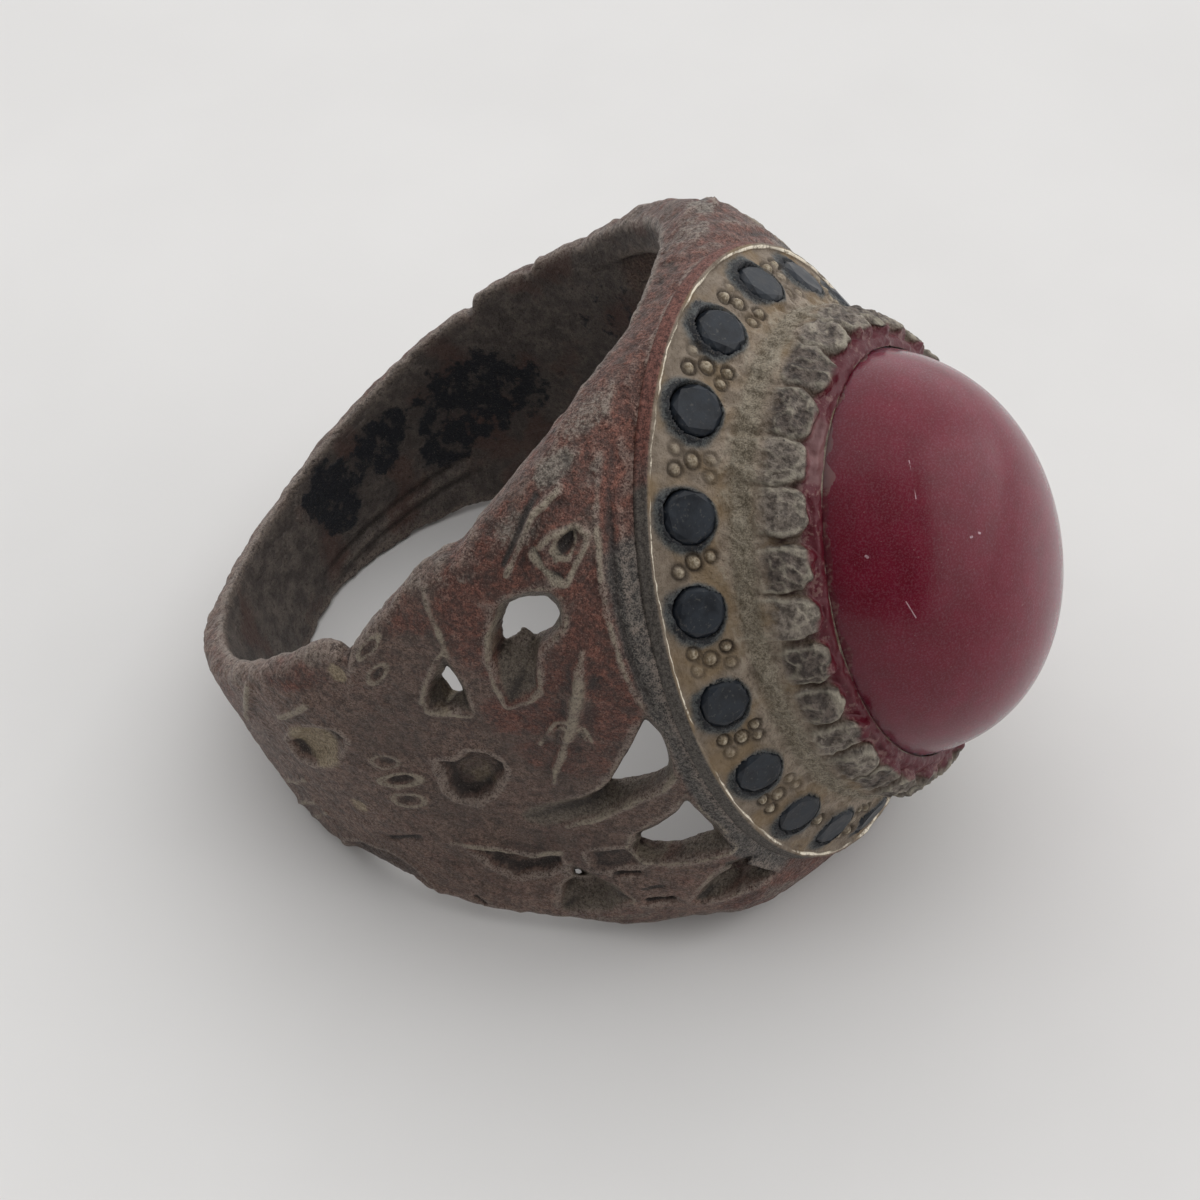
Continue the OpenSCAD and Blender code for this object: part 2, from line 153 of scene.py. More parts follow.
# Openings: rim at the surface, then the clear way through as seen, then its shift per mm of depth
OPENINGS = [
    ([(6.1, 7.2), (6.55, 7.3), (7, 7.35), (7.7, 7.22), (7.9, 6.85), (7.9, 6.45), (7.75, 6), (7.1, 5.6),
      (6.75, 5.3), (6.3, 4.5), (6.15, 4), (5.6, 3.65), (4.95, 3.5), (4.95, 4.3), (5.15, 5.3), (5.5, 6.2),
      (5.8, 6.9)],
     [(5.8, 5.9), (6.05, 6.5), (6.35, 6.95), (6.55, 7.2), (7, 7.25), (7.65, 7.15), (7.8, 6.85),
      (7.83, 6.5), (7.5, 6.15), (6.9, 5.97), (6.8, 6.15), (6.65, 6.32), (6.5, 6.28), (6.3, 6.1), (5.95, 6)],
     (-0.68, -0.72)),
    ([(3.75, 5.75), (3.3, 5.3), (2.75, 4.7), (2.2, 4), (2.15, 3.6), (2.6, 3.5), (3.1, 3.45), (3.5, 3.3),
      (3.65, 3.7), (3.8, 4.2), (3.82, 5)],
     [(3.35, 5), (3.55, 5.15), (3.68, 5.4), (3.75, 5.1), (3.7, 4.15), (3.45, 4.3), (3.4, 4.7)],
     (-0.91, -0.93)),
    ([(9.02, 2.45), (9.3, 1.6), (9.2, 0.6), (9.05, 0), (8.9, -0.4), (8.2, -0.9), (7, -1.4), (6, -1.8),
      (5.2, -1.98), (4.5, -2.1), (3.6, -2.15), (3.05, -1.85), (3, -1.5), (3.6, -1.15), (4.3, -1),
      (5.3, -1), (6.2, -0.75), (6.8, -0.25), (7.4, 0.42), (7.85, 0.88), (8.3, 1.42)],
     [(6.85, -0.17), (7.4, 0.4), (7.85, 0.85), (8.3, 1.4), (9.02, 2.35), (9.27, 1.6), (9.15, 0.6), (9, 0.25),
      (8.5, 0), (7.9, -0.12), (7.2, -0.2)],
     (-0.81, -1.04)),
    ([(8.97, -1.35), (9.15, -2.3), (9.3, -3), (9.25, -4.4), (8.3, -4.5), (7, -4.45), (6.2, -4.1),
      (6, -3.6), (6.5, -2.85), (7.2, -2.55), (7.8, -2.25), (8.4, -1.9)],
     [(6.55, -2.83), (7.2, -2.6), (7.8, -2.3), (8.4, -1.95), (8.95, -1.42), (9.1, -2.3), (9.22, -3),
      (8.7, -3.08), (8, -3.3), (7.6, -3.3), (7.2, -3.22), (6.9, -3.05)],
     (-0.83, -1.14)),
    ([(3.75, -4.15), (4.05, -4.35), (4.4, -4.75), (4.8, -5.3), (5.05, -6.2), (4.3, -6.6), (4.1, -6.85),
      (3, -6.8), (2.2, -6.65), (2.5, -5.9), (3, -5.1), (3.5, -4.6)],
     [(3.75, -4.22), (4, -4.4), (4.35, -4.72), (3.65, -4.6)],
     (-0.92, -1.17)),
    ([(6.9, -6.8), (7.5, -6.1), (8.2, -5.5), (8.6, -5.1), (9.15, -5.15), (9.25, -6), (9.3, -7.2),
      (8.8, -7.1), (8.3, -7), (7.6, -7.05), (7.1, -7)],
     [(8.6, -4.9), (9.3, -5), (9.6, -5.3), (9.1, -5.5)],
     (-1.02, -1.52)),
]
# Closed recesses: depth, softness of the edge, outline
RECESSES = [
    (0.42, 0.3, [(1.4, 1.3), (2, 1.2), (2.6, 1.55), (3.2, 1.5), (3.5, 1), (3.4, 0.5), (3, 0.1),
     (2.6, -0.4), (1.8, -0.7), (1.25, -0.5), (1.05, 0), (1.2, 0.5)]),
    (0.32, 0.35, [(-4.3, 1.3), (-3.7, 1.1), (-3, 1.3), (-2, 2), (-1.4, 2.6), (-1.6, 3), (-2.3, 3.15),
     (-3, 3), (-3.8, 2.5), (-4.4, 2)]),
    (0.3, 0.25, [(0.5, -2.85), (1.5, -3.15), (2.5, -3.55), (3.5, -3.7), (3.4, -4.2), (2.6, -4.5), (1.6, -4.5),
     (0.9, -3.9)]),
    (0.16, 0.3, [(4.6, -3.5), (6, -3.5), (6.3, -4.3), (5, -4.6), (4.4, -4.3)]),
    (0.26, 0.4, [(-5.3, -3.5), (-4.2, -3.15), (-3, -3.3), (-2.4, -4), (-2.2, -4.6), (-2.1, -5.4),
     (-3.5, -5.3), (-5, -4.8), (-6, -4.4)]),
]
# Raised bars and ridges: height, half width, points
RIDGES = [
    (0.16, 0.13, [(8.1, 5.1), (7.8, 4.5), (7.5, 3.8)]),
    (0.2, 0.24, [(7.8, 4.5), (7.5, 3.8), (7, 3)]),
    (0.22, 0.21, [(7, 3), (6.7, 2.5), (6.3, 1.9)]),
    (0.2, 0.16, [(6.3, 1.9), (5.8, 1.2), (5.3, 0.5)]),
    (0.15, 0.1, [(5.3, 0.5), (4.95, -0.1)]),
    (0.12, 0.08, [(6.5, 2.55), (6.1, 2.5), (5.7, 2.2), (5.4, 1.9), (5.2, 1.65)]),
    (0.1, 0.07, [(6.3, 2.3), (5.9, 2.2), (5.7, 1.9)]),
    (0.07, 0.07, [(6.9, 2.2), (6.95, 1.5)]),
    (0.06, 0.07, [(6.7, 2.1), (6.75, 1.6)]),
    (0.1, 0.1, [(6.1, 7), (5.45, 6.2), (5, 5.2), (4.8, 4.2), (4.82, 3.35), (5.6, 3.45), (6.25, 3.8),
     (6.55, 4.7)]),
    (0.1, 0.09, [(2, 3.5), (2.6, 3.3), (3.5, 3.1), (3.75, 3.6)]),
    (0.07, 0.07, [(3.8, 5.9), (3.2, 5.35), (2.6, 4.7), (2, 3.9)]),
    (0.22, 0.1, [(6.6, 8), (6.95, 8.4), (7.25, 8.85), (7.5, 9.15), (8.2, 9.4)]),
    (0.12, 0.13, [(-3.8, 3.4), (-2.1, 4.15)]),
    (0.12, 0.12, [(-7, -1.2), (-5.1, -0.2)]),
    (0.12, 0.12, [(-8.6, -3.4), (-6.9, -2.2), (-5.6, -1.5)]),
    (0.08, 0.1, [(-8, -3.8), (-5.3, -2)]),
    (0.14, 0.16, [(-6.3, 2.5), (-4.8, 4.4)]),
    (0.12, 0.15, [(-12, -0.6), (-10.8, -0.8)]),
    (0.1, 0.12, [(0, -2.5), (0.6, -2.75), (1.5, -3.1), (2.4, -3.5), (3.7, -3.45)]),
    (0.1, 0.12, [(4.5, -2.2), (5.5, -2), (8.3, -1), (8.9, -0.4)]),
    (0.09, 0.14, [(3.9, 8), (3.95, 6.8), (3.85, 5.7)]),
    (0.12, 0.1, [(7.6, 7.9), (7.35, 8.35), (8, 8.6), (8.5, 8.5), (8.85, 8.2), (8.8, 7.9), (8.5, 7.6),
     (8.2, 7.25), (7.9, 7.4), (7.6, 7.9)]),
    (0.08, 0.07, [(8, 7.9), (7.9, 8.25), (8.1, 8.45), (8.4, 8.4), (8.5, 8.1), (8.3, 7.8), (8, 7.9)]),
]
# Engraved lines and slots: depth, half width, points
GROOVES = [
    (0.32, 0.1, [(5.1, -4.75), (5.8, -4.75)]),
    (0.35, 0.09, [(5.45, -6.4), (6.35, -6.5)]),
    (0.08, 0.08, [(5.6, -5.7), (6.3, -5.7)]),
    (0.2, 0.1, [(-0.5, -5.5), (-0.35, -5.95)]),
    (0.16, 0.08, [(7.45, 8.4), (7.6, 7.9), (8, 7.4)]),
    (0.24, 0.22, [(8.1, 8.1), (8.35, 8.3)]),
    (0.1, 0.09, [(-2.4, -2.45), (-1.1, -2.3)]),
    (0.05, 0.08, [(6.5, 8.2), (6.9, 8.7), (7.2, 9.1), (7.5, 9.4)]),
]
# Stamped almonds: middle, half length, half width, turn in degrees, strength
ALMONDS = [
    (1.4, 6.35, 0.6, 0.17, 37, 0.8), (1.25, 5.35, 0.55, 0.2, 37, 0.8), (0.9, 4.15, 0.4, 0.15, 37, 0.4),
    (-0.5, 1.5, 0.5, 0.3, 0, 0.6), (-0.35, 0.6, 0.75, 0.28, 0, 1), (-0.5, -0.35, 0.6, 0.3, 0, 0.7),
    (0.35, 5.3, 0.35, 0.14, 60, 0.4), (-1.1, 6, 0.3, 0.15, 20, 0.5),
]


def line_dist(pts, s, v):
    best = np.full(s.shape, 1e9)
    for (x0, y0), (x1, y1) in zip(pts, pts[1:]):
        ex, ey = x1 - x0, y1 - y0
        t = np.clip(((s - x0) * ex + (v - y0) * ey) / (ex * ex + ey * ey), 0, 1)
        best = np.minimum(best, (s - x0 - t * ex) ** 2 + (v - y0 - t * ey) ** 2)
    return np.sqrt(best)


def outline_dist(pts, s, v):
    """Signed distance to a closed outline, less than zero inside."""
    pts = pts + pts[:1]
    inside = np.zeros(s.shape, bool)
    for (x0, y0), (x1, y1) in zip(pts, pts[1:]):
        crosses = (y0 <= v) != (y1 <= v)
        inside ^= crosses & (((x1 - x0) * (v - y0) - (y1 - y0) * (s - x0)) * np.sign(y1 - y0) < 0)
    return np.where(inside, -1, 1) * line_dist(pts, s, v)


def near(pts, margin):
    """The part of the map round some points."""
    p = np.array(pts)
    a = ((p.min(0) - margin - (S0, V0)) / STEP).astype(int)
    b = ((p.max(0) + margin - (S0, V0)) / STEP).astype(int)
    return slice(max(a[0], 0), b[0]), slice(max(a[1], 0), b[1])


# Dirt that has gathered in the pits: middle s, middle v, radius, strength
PITS = [(-3.1, 2.1, 1.35, 1.0), (-0.3, 5.4, 0.5, 0.9), (-2.85, -0.8, 0.5, 0.7), (2.2, 0.3, 1.0, 0.4),
        (-11.5, -0.7, 0.8, 0.8), (2.6, 3.6, 0.5, 0.4)]
# The lower end of the shoulder's raised plate: v, s
PLATE_END = np.array([(4.0, -0.6), (4.8, -0.3), (5.3, 0.1), (6.0, 0.25), (6.5, 0.5), (6.9, 1.0)])
# The far shoulder has more wear, and these two openings stay closed there
FAR_CLOSED, FAR_RELIEF = (1, 4), 0.6
BORDER_S = 9.02  # line between the shoulder and the band under the crown


def shoulder_map(far):
    """Relief height and masks over one shoulder. The far one mirrors the near one, with another wear."""
    seed, loose = (500, 0.2) if far else (100, 0.05)

    def rough(cell, more, octaves):
        return fractal(FLAT, cell, seed + more, octaves).reshape(S.shape)

    ws, wv = S + loose * rough(1.1, 1, 2), V + loose * rough(1.1, 2, 2)
    maps = collections.defaultdict(lambda: np.zeros(S.shape))
    cuts, ways, clears, nearest = (np.full(S.shape, 9.0) for _ in range(4))
    worn = np.clip(0.5 + rough(0.5, 3, 2), 0, 1)

    def mark(name, w, value):
        maps[name][w] = np.maximum(maps[name][w], value)

    for i, (rim, clear, shift) in enumerate(OPENINGS):
        way = [(a + shift[0], b + shift[1]) for a, b in clear]
        closed = far and i in FAR_CLOSED
        if closed:
            way = [(way[0][0], way[0][1]), (way[0][0] + 0.02, way[0][1]), (way[0][0], way[0][1] + 0.02)]
        w = near(rim + way, 1.5)
        cuts[w] = np.minimum(cuts[w], outline_dist(rim, ws[w], wv[w]))
        ways[w] = np.minimum(ways[w], outline_dist(way, ws[w], wv[w]))
        if closed:
            continue
        d = outline_dist(clear, ws[w], wv[w])
        clears[w] = np.minimum(clears[w], d)
        d = np.minimum(d, outline_dist(way, ws[w], wv[w]))
        mine = d < nearest[w]
        nearest[w] = np.minimum(nearest[w], d)
        for name, lean in zip(("lean_s", "lean_v"), shift):
            maps[name][w] = np.where(mine, lean, maps[name][w])
    def drawn(rows, distance):
        """The rows of a table, with the part of the map they touch and the distances there."""
        for *sizes, pts in rows:
            w = near(pts, 1)
            yield *sizes, w, distance(pts, ws[w], wv[w])

    # the dark mark made in recesses, grooves and almonds below is grime together with painted shade where the
    # surface sinks
    for depth, soft, w, d in drawn(RECESSES, outline_dist):
        maps["h"][w] -= depth * step(-d, -0.06, soft)
        maps["h"][w] += 0.07 * bell(d - 0.12, 0.12)
        mark("dark", w, 0.5 * step(-d, -0.05, soft))
    for height, half, w, d in drawn(RIDGES, line_dist):
        ridge = bell(d, half)
        maps["h"][w] += (FAR_RELIEF if far else 1) * height * ridge * (0.85 + 0.3 * worn[w])
        mark("pale", w, ridge * (0.55 + 0.45 * worn[w]))
    for depth, half, w, d in drawn(GROOVES, line_dist):
        maps["h"][w] -= depth * bell(d, half)
        mark("dark", w, bell(d / half, 1.2))
    for cs, cv, a, b, turn, power in ALMONDS:
        w = near([(cs, cv)], 1.4)
        c, q = math.cos(math.radians(turn)), math.sin(math.radians(turn))
        ds, dv = ws[w] - cs, wv[w] - cv
        u = np.hypot((ds * c + dv * q) / a, (dv * c - ds * q) / b)
        rim = bell(u - 1, 0.28) * power
        maps["h"][w] += 0.09 * rim - 0.09 * power * step(-u, -0.95, -0.3)
        mark("pale", w, np.minimum(1.1 * rim, 0.95))
        mark("dark", w, 0.3 * power * step(-u, -0.8, -0.4))
    # the end of the raised plate, then the border and groove of the band under the crown
    plate = np.interp(V, PLATE_END[:, 0], PLATE_END[:, 1])
    maps["h"] += 0.16 * step(V, 3.6, 5.2) * (step(ws, plate - 0.12, plate + 0.1) - 1) * step(S, -3, -1)
    place = ws - BORDER_S - 0.04 * np.sin(V * 0.9)
    border, groove = bell(place, 0.09), bell(place - 0.24, 0.1)
    upper = step(V, 1.8, 3.2) * step(-V, -9.6, -8.0)
    maps["h"] += (0.09 * border - 0.1 * groove) * (0.2 + 0.8 * upper)
    broken = np.clip(0.7 + 0.8 * noise(FLAT, 0.35, seed + 5), 0.1, 1).reshape(S.shape)
    mark("pale", ..., 0.8 * border * (0.15 + 0.85 * upper) * broken)
    maps["h"] -= 0.06 * step(S, 7.2, 7.6) * step(V, 8.9, 9.4) * (0.5 + 0.5 * np.sin((S * 0.9 + V * 0.5) * 16))
    for cs, cv, r, power in PITS:
        mark("dirt", ..., power * step(-np.hypot(ws - cs, wv - cv), -r, -0.4 * r))
    # a raised, worn rim round every opening
    rim = bell(cuts - 0.07, 0.07) * np.clip(0.45 + 1.1 * rough(1.3, 7, 3), 0, 1)
    maps["h"] += 0.04 * rim
    mark("pale", ..., 0.8 * rim)
    maps["cut"], maps["way"], maps["clear"] = cuts, ways, clears
    return {k: m.astype(np.float32) for k, m in maps.items()}


MAPS = [shoulder_map(False), shoulder_map(True)]


def sample(a, places):
    """Values of the array a between its cells, at places counted in cells."""
    q = [np.clip(c, 0, n - 1.001) for c, n in zip(places, a.shape)]
    i = [c.astype(int) for c in q]
    out = 0
    for corner in itertools.product((0, 1), repeat=a.ndim):
        w = 1
        for b, c, j in zip(corner, q, i):
            w = w * (c - j if b else 1 - (c - j))
        out = out + w * a[tuple(j + b for b, j in zip(corner, i))]
    return out


def on_map(name, s, v, far):
    """Values of a map at places s, v; far says which shoulder each place is on."""
    out = np.zeros(len(s), np.float32)
    for side, maps in enumerate(MAPS):
        k = far == side
        out[k] = sample(maps[name], ((s[k] - S0) / STEP, (v[k] - V0) / STEP))
    return out


def shoulder_place(x, z):
    """s of a point, from its x and z."""
    return np.where(z > TZ, (z - TZ) * SIDE_LEN / (HEAD_Z - TZ), OUT_R * (np.arctan2(z, np.abs(x)) - TANGENT))


# The cast body, as a distance field
VOXEL = 0.1
# How the upper rim differs from the plain width. Columns: s, near side, far side
RIM_WEAR = np.array([
    (-18.4, -0.35, -0.35), (-14, -0.4, -0.3), (-9, -0.3, -0.1), (-7, -0.15, 0.02), (-6.2, -0.1, -0.08),
    (-5.85, -0.08, -0.3), (-5.5, -0.07, 0.2), (-4.6, 0.0, 0.16), (-3.9, 0.05, 0.1), (-3.2, 0.12, 0.0),
    (-2.6, 0.115, -0.2), (-2.2, 0.11, 0.12), (-0.8, 0.0, 0.0), (-0.1, -0.35, -0.12), (0.2, -0.95, -0.22),
    (0.5, -0.6, -0.1), (0.8, -0.42, -0.12), (2.0, -0.12, -0.05), (3.3, 0.22, 0.05), (4.1, 0.12, 0.03),
    (4.7, -0.18, 0), (6.1, 0.02, 0), (11, 0, 0),
])
# Worn dents of the lower rim. Columns: s, near side, far side
LOW_WEAR = np.array([
    (-18.4, 0, 0), (-6, 0, 0), (-5, -0.2, -0.1), (-4, -0.3, -0.2), (-3, -0.05, -0.35), (-2, 0, -0.1),
    (-0.5, -0.2, 0), (1.5, -0.25, -0.1), (4, -0.05, 0), (11, 0, 0),
])
RILLS, RILL_W = (-1.5, -2.25), 0.17  # two grooves along the finger hole's lower rim: their v and half width


def worn_by(table, s2, x2):
    """A rim's wear at each s, from the near or the far column."""
    return np.where(x2 < 0, *(np.interp(s2, table[:, 0], table[:, k]) for k in (1, 2)))


def body_field():
    """The body's distance field, less than zero in the metal, and the axes of its grid."""
    ax = [np.arange(lo, hi, VOXEL) for lo, hi in ((-11.2, 11.25), (-11.6, 11.65), (-11.2, 11.9))]
    gx, gy, gz = [a.astype(np.float32) for a in ax]
    x, y, z = gx[:, None, None], gy[None, :, None], gz[None, None, :]
    x2, z2 = gx[:, None], gz[None, :]
    r2 = np.hypot(x2, z2)
    side = TX + (HEAD_RX - TX) * (z2 - TZ) / (HEAD_Z - TZ)
    rho = np.where(z2 < TZ, r2 / OUT_R, np.abs(x2) / side)[:, None, :]
    n = np.interp(gz, SQUARE[:, 0], SQUARE[:, 1]).astype(np.float32)
    wide = np.interp(gz, WIDTHS[:, 0], WIDTHS[:, 1]).astype(np.float32)
    tip = wide * np.interp(gz, TIPS[:, 0], TIPS[:, 1]).astype(np.float32)
    f = (np.maximum(rho, 1e-3) ** n + (np.abs(y) / tip) ** n) ** (1 / n) - 1
    g = np.gradient(f, VOXEL)
    out = f / np.maximum(np.sqrt(g[0] ** 2 + g[1] ** 2 + g[2] ** 2), 0.03)
    del f, g
    # cast lumps and pitting all over
    lumps = 0.035 * grid_noise(ax, 0.9, 11) + 0.028 * grid_noise(ax, 0.42, 12) + 0.024 * grid_noise(ax, 0.22, 13)
    lumps += 0.09 * np.maximum(grid_noise(ax, 0.33, 15) - 0.42, 0)
    broad = 0.05 * grid_noise(ax, 2.6, 14)
    s2 = shoulder_place(x2, z2).astype(np.float32)
    s = np.broadcast_to(s2[:, None, :], out.shape)
    v = np.broadcast_to(y, out.shape)
    skin = np.abs(out) < 1.7
    far = np.broadcast_to(x, out.shape)[skin] > 0
    sk, vk = s[skin], v[skin]
    metal = out + lumps + broad
    metal[skin] -= on_map("h", sk, vk, far)
    # the front and back faces, with worn rims
    up, low = worn_by(RIM_WEAR, s2, x2), worn_by(LOW_WEAR, s2, x2)
    face = np.maximum(y - (wide + up)[:, None, :], -y - (wide + low)[:, None, :]) * 0.91
    metal = smax(metal, face + 1.6 * lumps + 0.6 * broad, 0.3)
    metal = smax(metal, z - HEAD_Z + 0.1 * lumps, 0.04)
    # the finger hole
    th = np.degrees(np.arctan2(z2, x2))
    rill = sum(bell(y - v0, RILL_W) for v0 in RILLS) * step(-np.abs(th + 60), -32, -14)[:, None, :]
    hole = (BORE_R - r2)[:, None, :] + 0.7 * lumps + 0.4 * broad + 0.12 * rill
    metal = smax(metal, hole, 0.22)
    # the hollow behind each shoulder
    floor = 5.4 + (z - 7.9) * 0.493
    hollow = np.maximum(np.maximum(out + 1.0, np.abs(y) - (tip - 2.2)), np.maximum(1.8 - z, z - 10.4))
    hollow = np.maximum(hollow, np.where(z > 7.9, floor - np.abs(x), -9))
    metal = smax(metal, -hollow - 0.5 * broad, 0.2)
    # the openings: their walls lean from the rim at the surface to the clear way through
    deep = np.clip(-out[skin], 0, 1)
    cut, way = on_map("cut", sk, vk, far), on_map("way", sk, vk, far)
    opening = cut + (way - cut) * deep
    lean = [on_map(k, sk, vk, far) * deep for k in ("lean_s", "lean_v")]
    opening = np.minimum(opening, on_map("clear", sk - lean[0], vk - lean[1], far))
    metal[skin] = smax(metal[skin], -(opening + 0.5 * lumps[skin]), 0.07)
    return ax, metal.astype(np.float32)


def blur(a, r):
    """Mean over a cube of 2 r + 1 cells a side."""
    for axis in range(3):
        c = np.cumsum(a, axis, dtype=np.float64)
        c = np.concatenate([np.zeros_like(np.take(c, [0], axis)), c], axis)
        n = a.shape[axis]
        hi, lo = np.minimum(np.arange(n) + r + 1, n), np.maximum(np.arange(n) - r, 0)
        shape = [1, 1, 1]
        shape[axis] = n
        a = ((np.take(c, hi, axis) - np.take(c, lo, axis)) / (hi - lo).reshape(shape)).astype(np.float32)
    return a


def make_mesh(name, points, faces, smooth=True):
    """A new object from points in ring axes and mm."""
    mesh = bpy.data.meshes.new(name)
    mesh.from_pydata(to_world(points).tolist(), [], faces)
    mesh.update()
    if smooth:
        mesh.polygons.foreach_set("use_smooth", [True] * len(mesh.polygons))
    obj = bpy.data.objects.new(name, mesh)
    bpy.context.scene.collection.objects.link(obj)
    return obj


def points_of(obj):
    co = np.zeros(len(obj.data.vertices) * 3, np.float32)
    obj.data.vertices.foreach_get("co", co)
    return to_ring(co.reshape(-1, 3).astype(float))


def put(obj, **marks):
    """Adds the marks that the materials read, one value a point."""
    for name, values in marks.items():
        at = obj.data.attributes.new(name, "FLOAT", "POINT")
        at.data.foreach_set("value", np.ascontiguousarray(values, np.float32))


def spots(p2, rows):
    """Soft patches. Rows: middle s, middle v, half length, half width, strength."""
    out = np.zeros(len(p2))
    for cs, cv, a, b, power in rows:
        d = np.hypot((p2[:, 0] - cs) / a, (p2[:, 1] - cv) / b)
        out = np.maximum(out, power * step(-d, -1.35, -0.5))
    return out


# Patches of the body. Columns as in spots
RED = [
    (6.5, 6.5, 2.8, 3.2, 1.0), (8.4, 5, 1.0, 3.5, 1.0), (5.2, 3.0, 1.6, 1.1, 0.9), (5.2, 7.3, 1.2, 1.6, 1.0),
    (7.7, 2.2, 0.9, 0.9, 0.9), (3.0, 7.2, 1.4, 0.8, 0.6), (6.3, 0.8, 1.6, 1.2, 0.6), (5.0, 1.2, 1.0, 1.0, 0.6),
    (-2.5, 5.3, 2.2, 0.7, 0.7), (-9, 3, 4, 1.6, 0.55), (0.5, -4, 4, 2.5, 0.35), (8, -6, 2.5, 3.5, 0.45),
    (8.5, -3, 1.0, 1.2, 0.3), (-12, 1, 4, 2.4, 0.4), (8.6, 9.6, 2.4, 1.4, 0.7),
    (8.6, -8.2, 1.6, 1.6, 0.75), (4, -7.4, 3, 0.8, 0.5)]
BARE = [
    (7.9, 9.75, 0.7, 0.3, 0.8), (9.2, 9.3, 0.5, 0.4, 0.6), (6.9, 8.9, 0.9, 0.4, 0.65),
    (8.8, 10.2, 1.2, 0.25, 0.6), (7.2, 8.75, 0.6, 0.3, 0.6), (9.0, -3.9, 0.5, 0.9, 0.45),
    (3.0, -7.3, 3.0, 0.3, 0.6), (8.8, -8.6, 0.6, 0.9, 0.6), (6.5, -8.4, 2.0, 0.4, 0.55),
    (-6, 4.3, 3.0, 0.2, 0.45), (4.5, 8.1, 1.5, 0.2, 0.45)]
# Black crust on the inner wall, with a turn in degrees in place of s
BLACK_INSIDE = [
    (-71, 0.7, 9, 1.9, 0.9), (-58, 1.0, 9, 1.3, 0.8), (-52, 1.5, 7, 1.0, 0.8),
    (-30, 0.9, 20, 2.4, 0.8), (-42, -0.6, 9, 1.0, 0.8), (15, 2, 20, 4, 0.45)]
BODY_TRIANGLES = 190000


def make_body():
    ax, metal = body_field()
    grid = vdb.FloatGrid(3.0)
    grid.copyFromArray(np.clip(metal, -0.5, 0.5))
    pts, quads = grid.convertToQuads(0)
    pts = pts * VOXEL + np.array([a[0] for a in ax])
    obj = make_mesh("cast_body", pts, quads[:, ::-1].tolist())
    keep = BODY_TRIANGLES / (2 * len(quads))
    if keep < 1:
        obj.modifiers.new("fewer", "DECIMATE").ratio = keep
        graph, full = bpy.context.evaluated_depsgraph_get(), obj.data
        obj.data = bpy.data.meshes.new_from_object(obj.evaluated_get(graph))
        obj.modifiers.clear()
        bpy.data.meshes.remove(full)
    p = points_of(obj)
    cells = [(p[:, k] - ax[k][0]) / VOXEL for k in range(3)]
    # how sunken or bulging the surface is round each point: the metal paints shade into hollows and highlight onto
    # edges from it
    hollowness = sample(blur(metal, max(int(0.35 / VOXEL), 1)) - metal, cells)
    s, v = shoulder_place(p[:, 0], p[:, 2]), p[:, 1]
    far = p[:, 0] > 0
    inner = step(-np.hypot(p[:, 0], p[:, 2]), -9.95, -9.8)
    outer = 1 - inner
    flat = np.stack([s, v], 1)
    turn = np.stack([np.degrees(np.arctan2(p[:, 2], p[:, 0])), p[:, 1]], 1)
    put(obj, **{name: on_map(name, s, v, far) * outer for name in ("pale", "dirt", "dark")})
    put(obj, red=spots(flat, RED) * outer, bare=spots(flat, BARE) * outer,
        warm=np.clip(step(-v, 3.5, 7) + 0.5 * step(-s, -2, 4), 0, 1) * outer,
        inner=inner, black=spots(turn, BLACK_INSIDE) * inner, cavity=np.clip(hollowness * 8, -1, 1),
        band=step(s, 9.05, 9.2) * outer, wall=step(-on_map("cut", s, v, far), -0.02, 0.12) * outer,
        rust=np.maximum(step(v, 6.6, 8.4), 0.9 * step(-v, 6.0, 8.0)))
    return obj


# The crown plate and its collar
# Turn of each stone round the crown, in degrees
TURNS = [30, 49.5, 69, 91, 111.5, 133, 151, 170, 188.5, 207, 223.5, 242, 265, 287.5, 310, 330.5, 350.5, 370]
PROFILE = np.array([  # t along the profile, share of the radius, height
    (0, 1, 11.4), (0.3, 1, 11.7), (0.37, 0.993, 11.77), (0.45, 0.985, 11.74), (0.58, 0.975, 11.71),
    (3.02, 0.79, 13.32), (3.37, 0.785, 13.665), (3.96, 0.77, 14.24), (4.59, 0.745, 14.815), (5.21, 0.71, 15.34),
    (5.59, 0.685, 15.62), (5.75, 0.668, 15.68), (5.9, 0.651, 15.69)])
SLOPE_TILT = math.atan2(1.61, (0.975 - 0.79) * HEAD_RX)
STONE_SHARE, STONE_Z, STONE_R = 0.885, 13.32 - (0.885 - 0.79) / (0.975 - 0.79) * 1.61, 0.85
STONE_T = 0.58 + 2.44 * (0.975 - STONE_SHARE) / (0.975 - 0.79)
LOBES, LOBE_TURN, LEAD = 30, 8.9, 2.4


def oval(a, share, z):
    """Points of the crown's oval at turn a, for a share of its radius."""
    r = np.radians(a)
    return np.stack(np.broadcast_arrays(share * HEAD_RX * np.cos(r), share * HEAD_RY * np.sin(r), z), -1)


def crown_base(a, t):
    return oval(a, *(np.interp(t, PROFILE[:, 0], PROFILE[:, k]) for k in (1, 2)))


def along(a, share):
    """mm of outline per degree at turn a."""
    r = np.radians(a)
    return np.hypot(HEAD_RX * share * np.sin(r), HEAD_RY * share * np.cos(r)) * math.pi / 180


def past(a, mid):
    """Degrees from mid to a, by the short way."""
    return (a - mid + 180) % 360 - 180


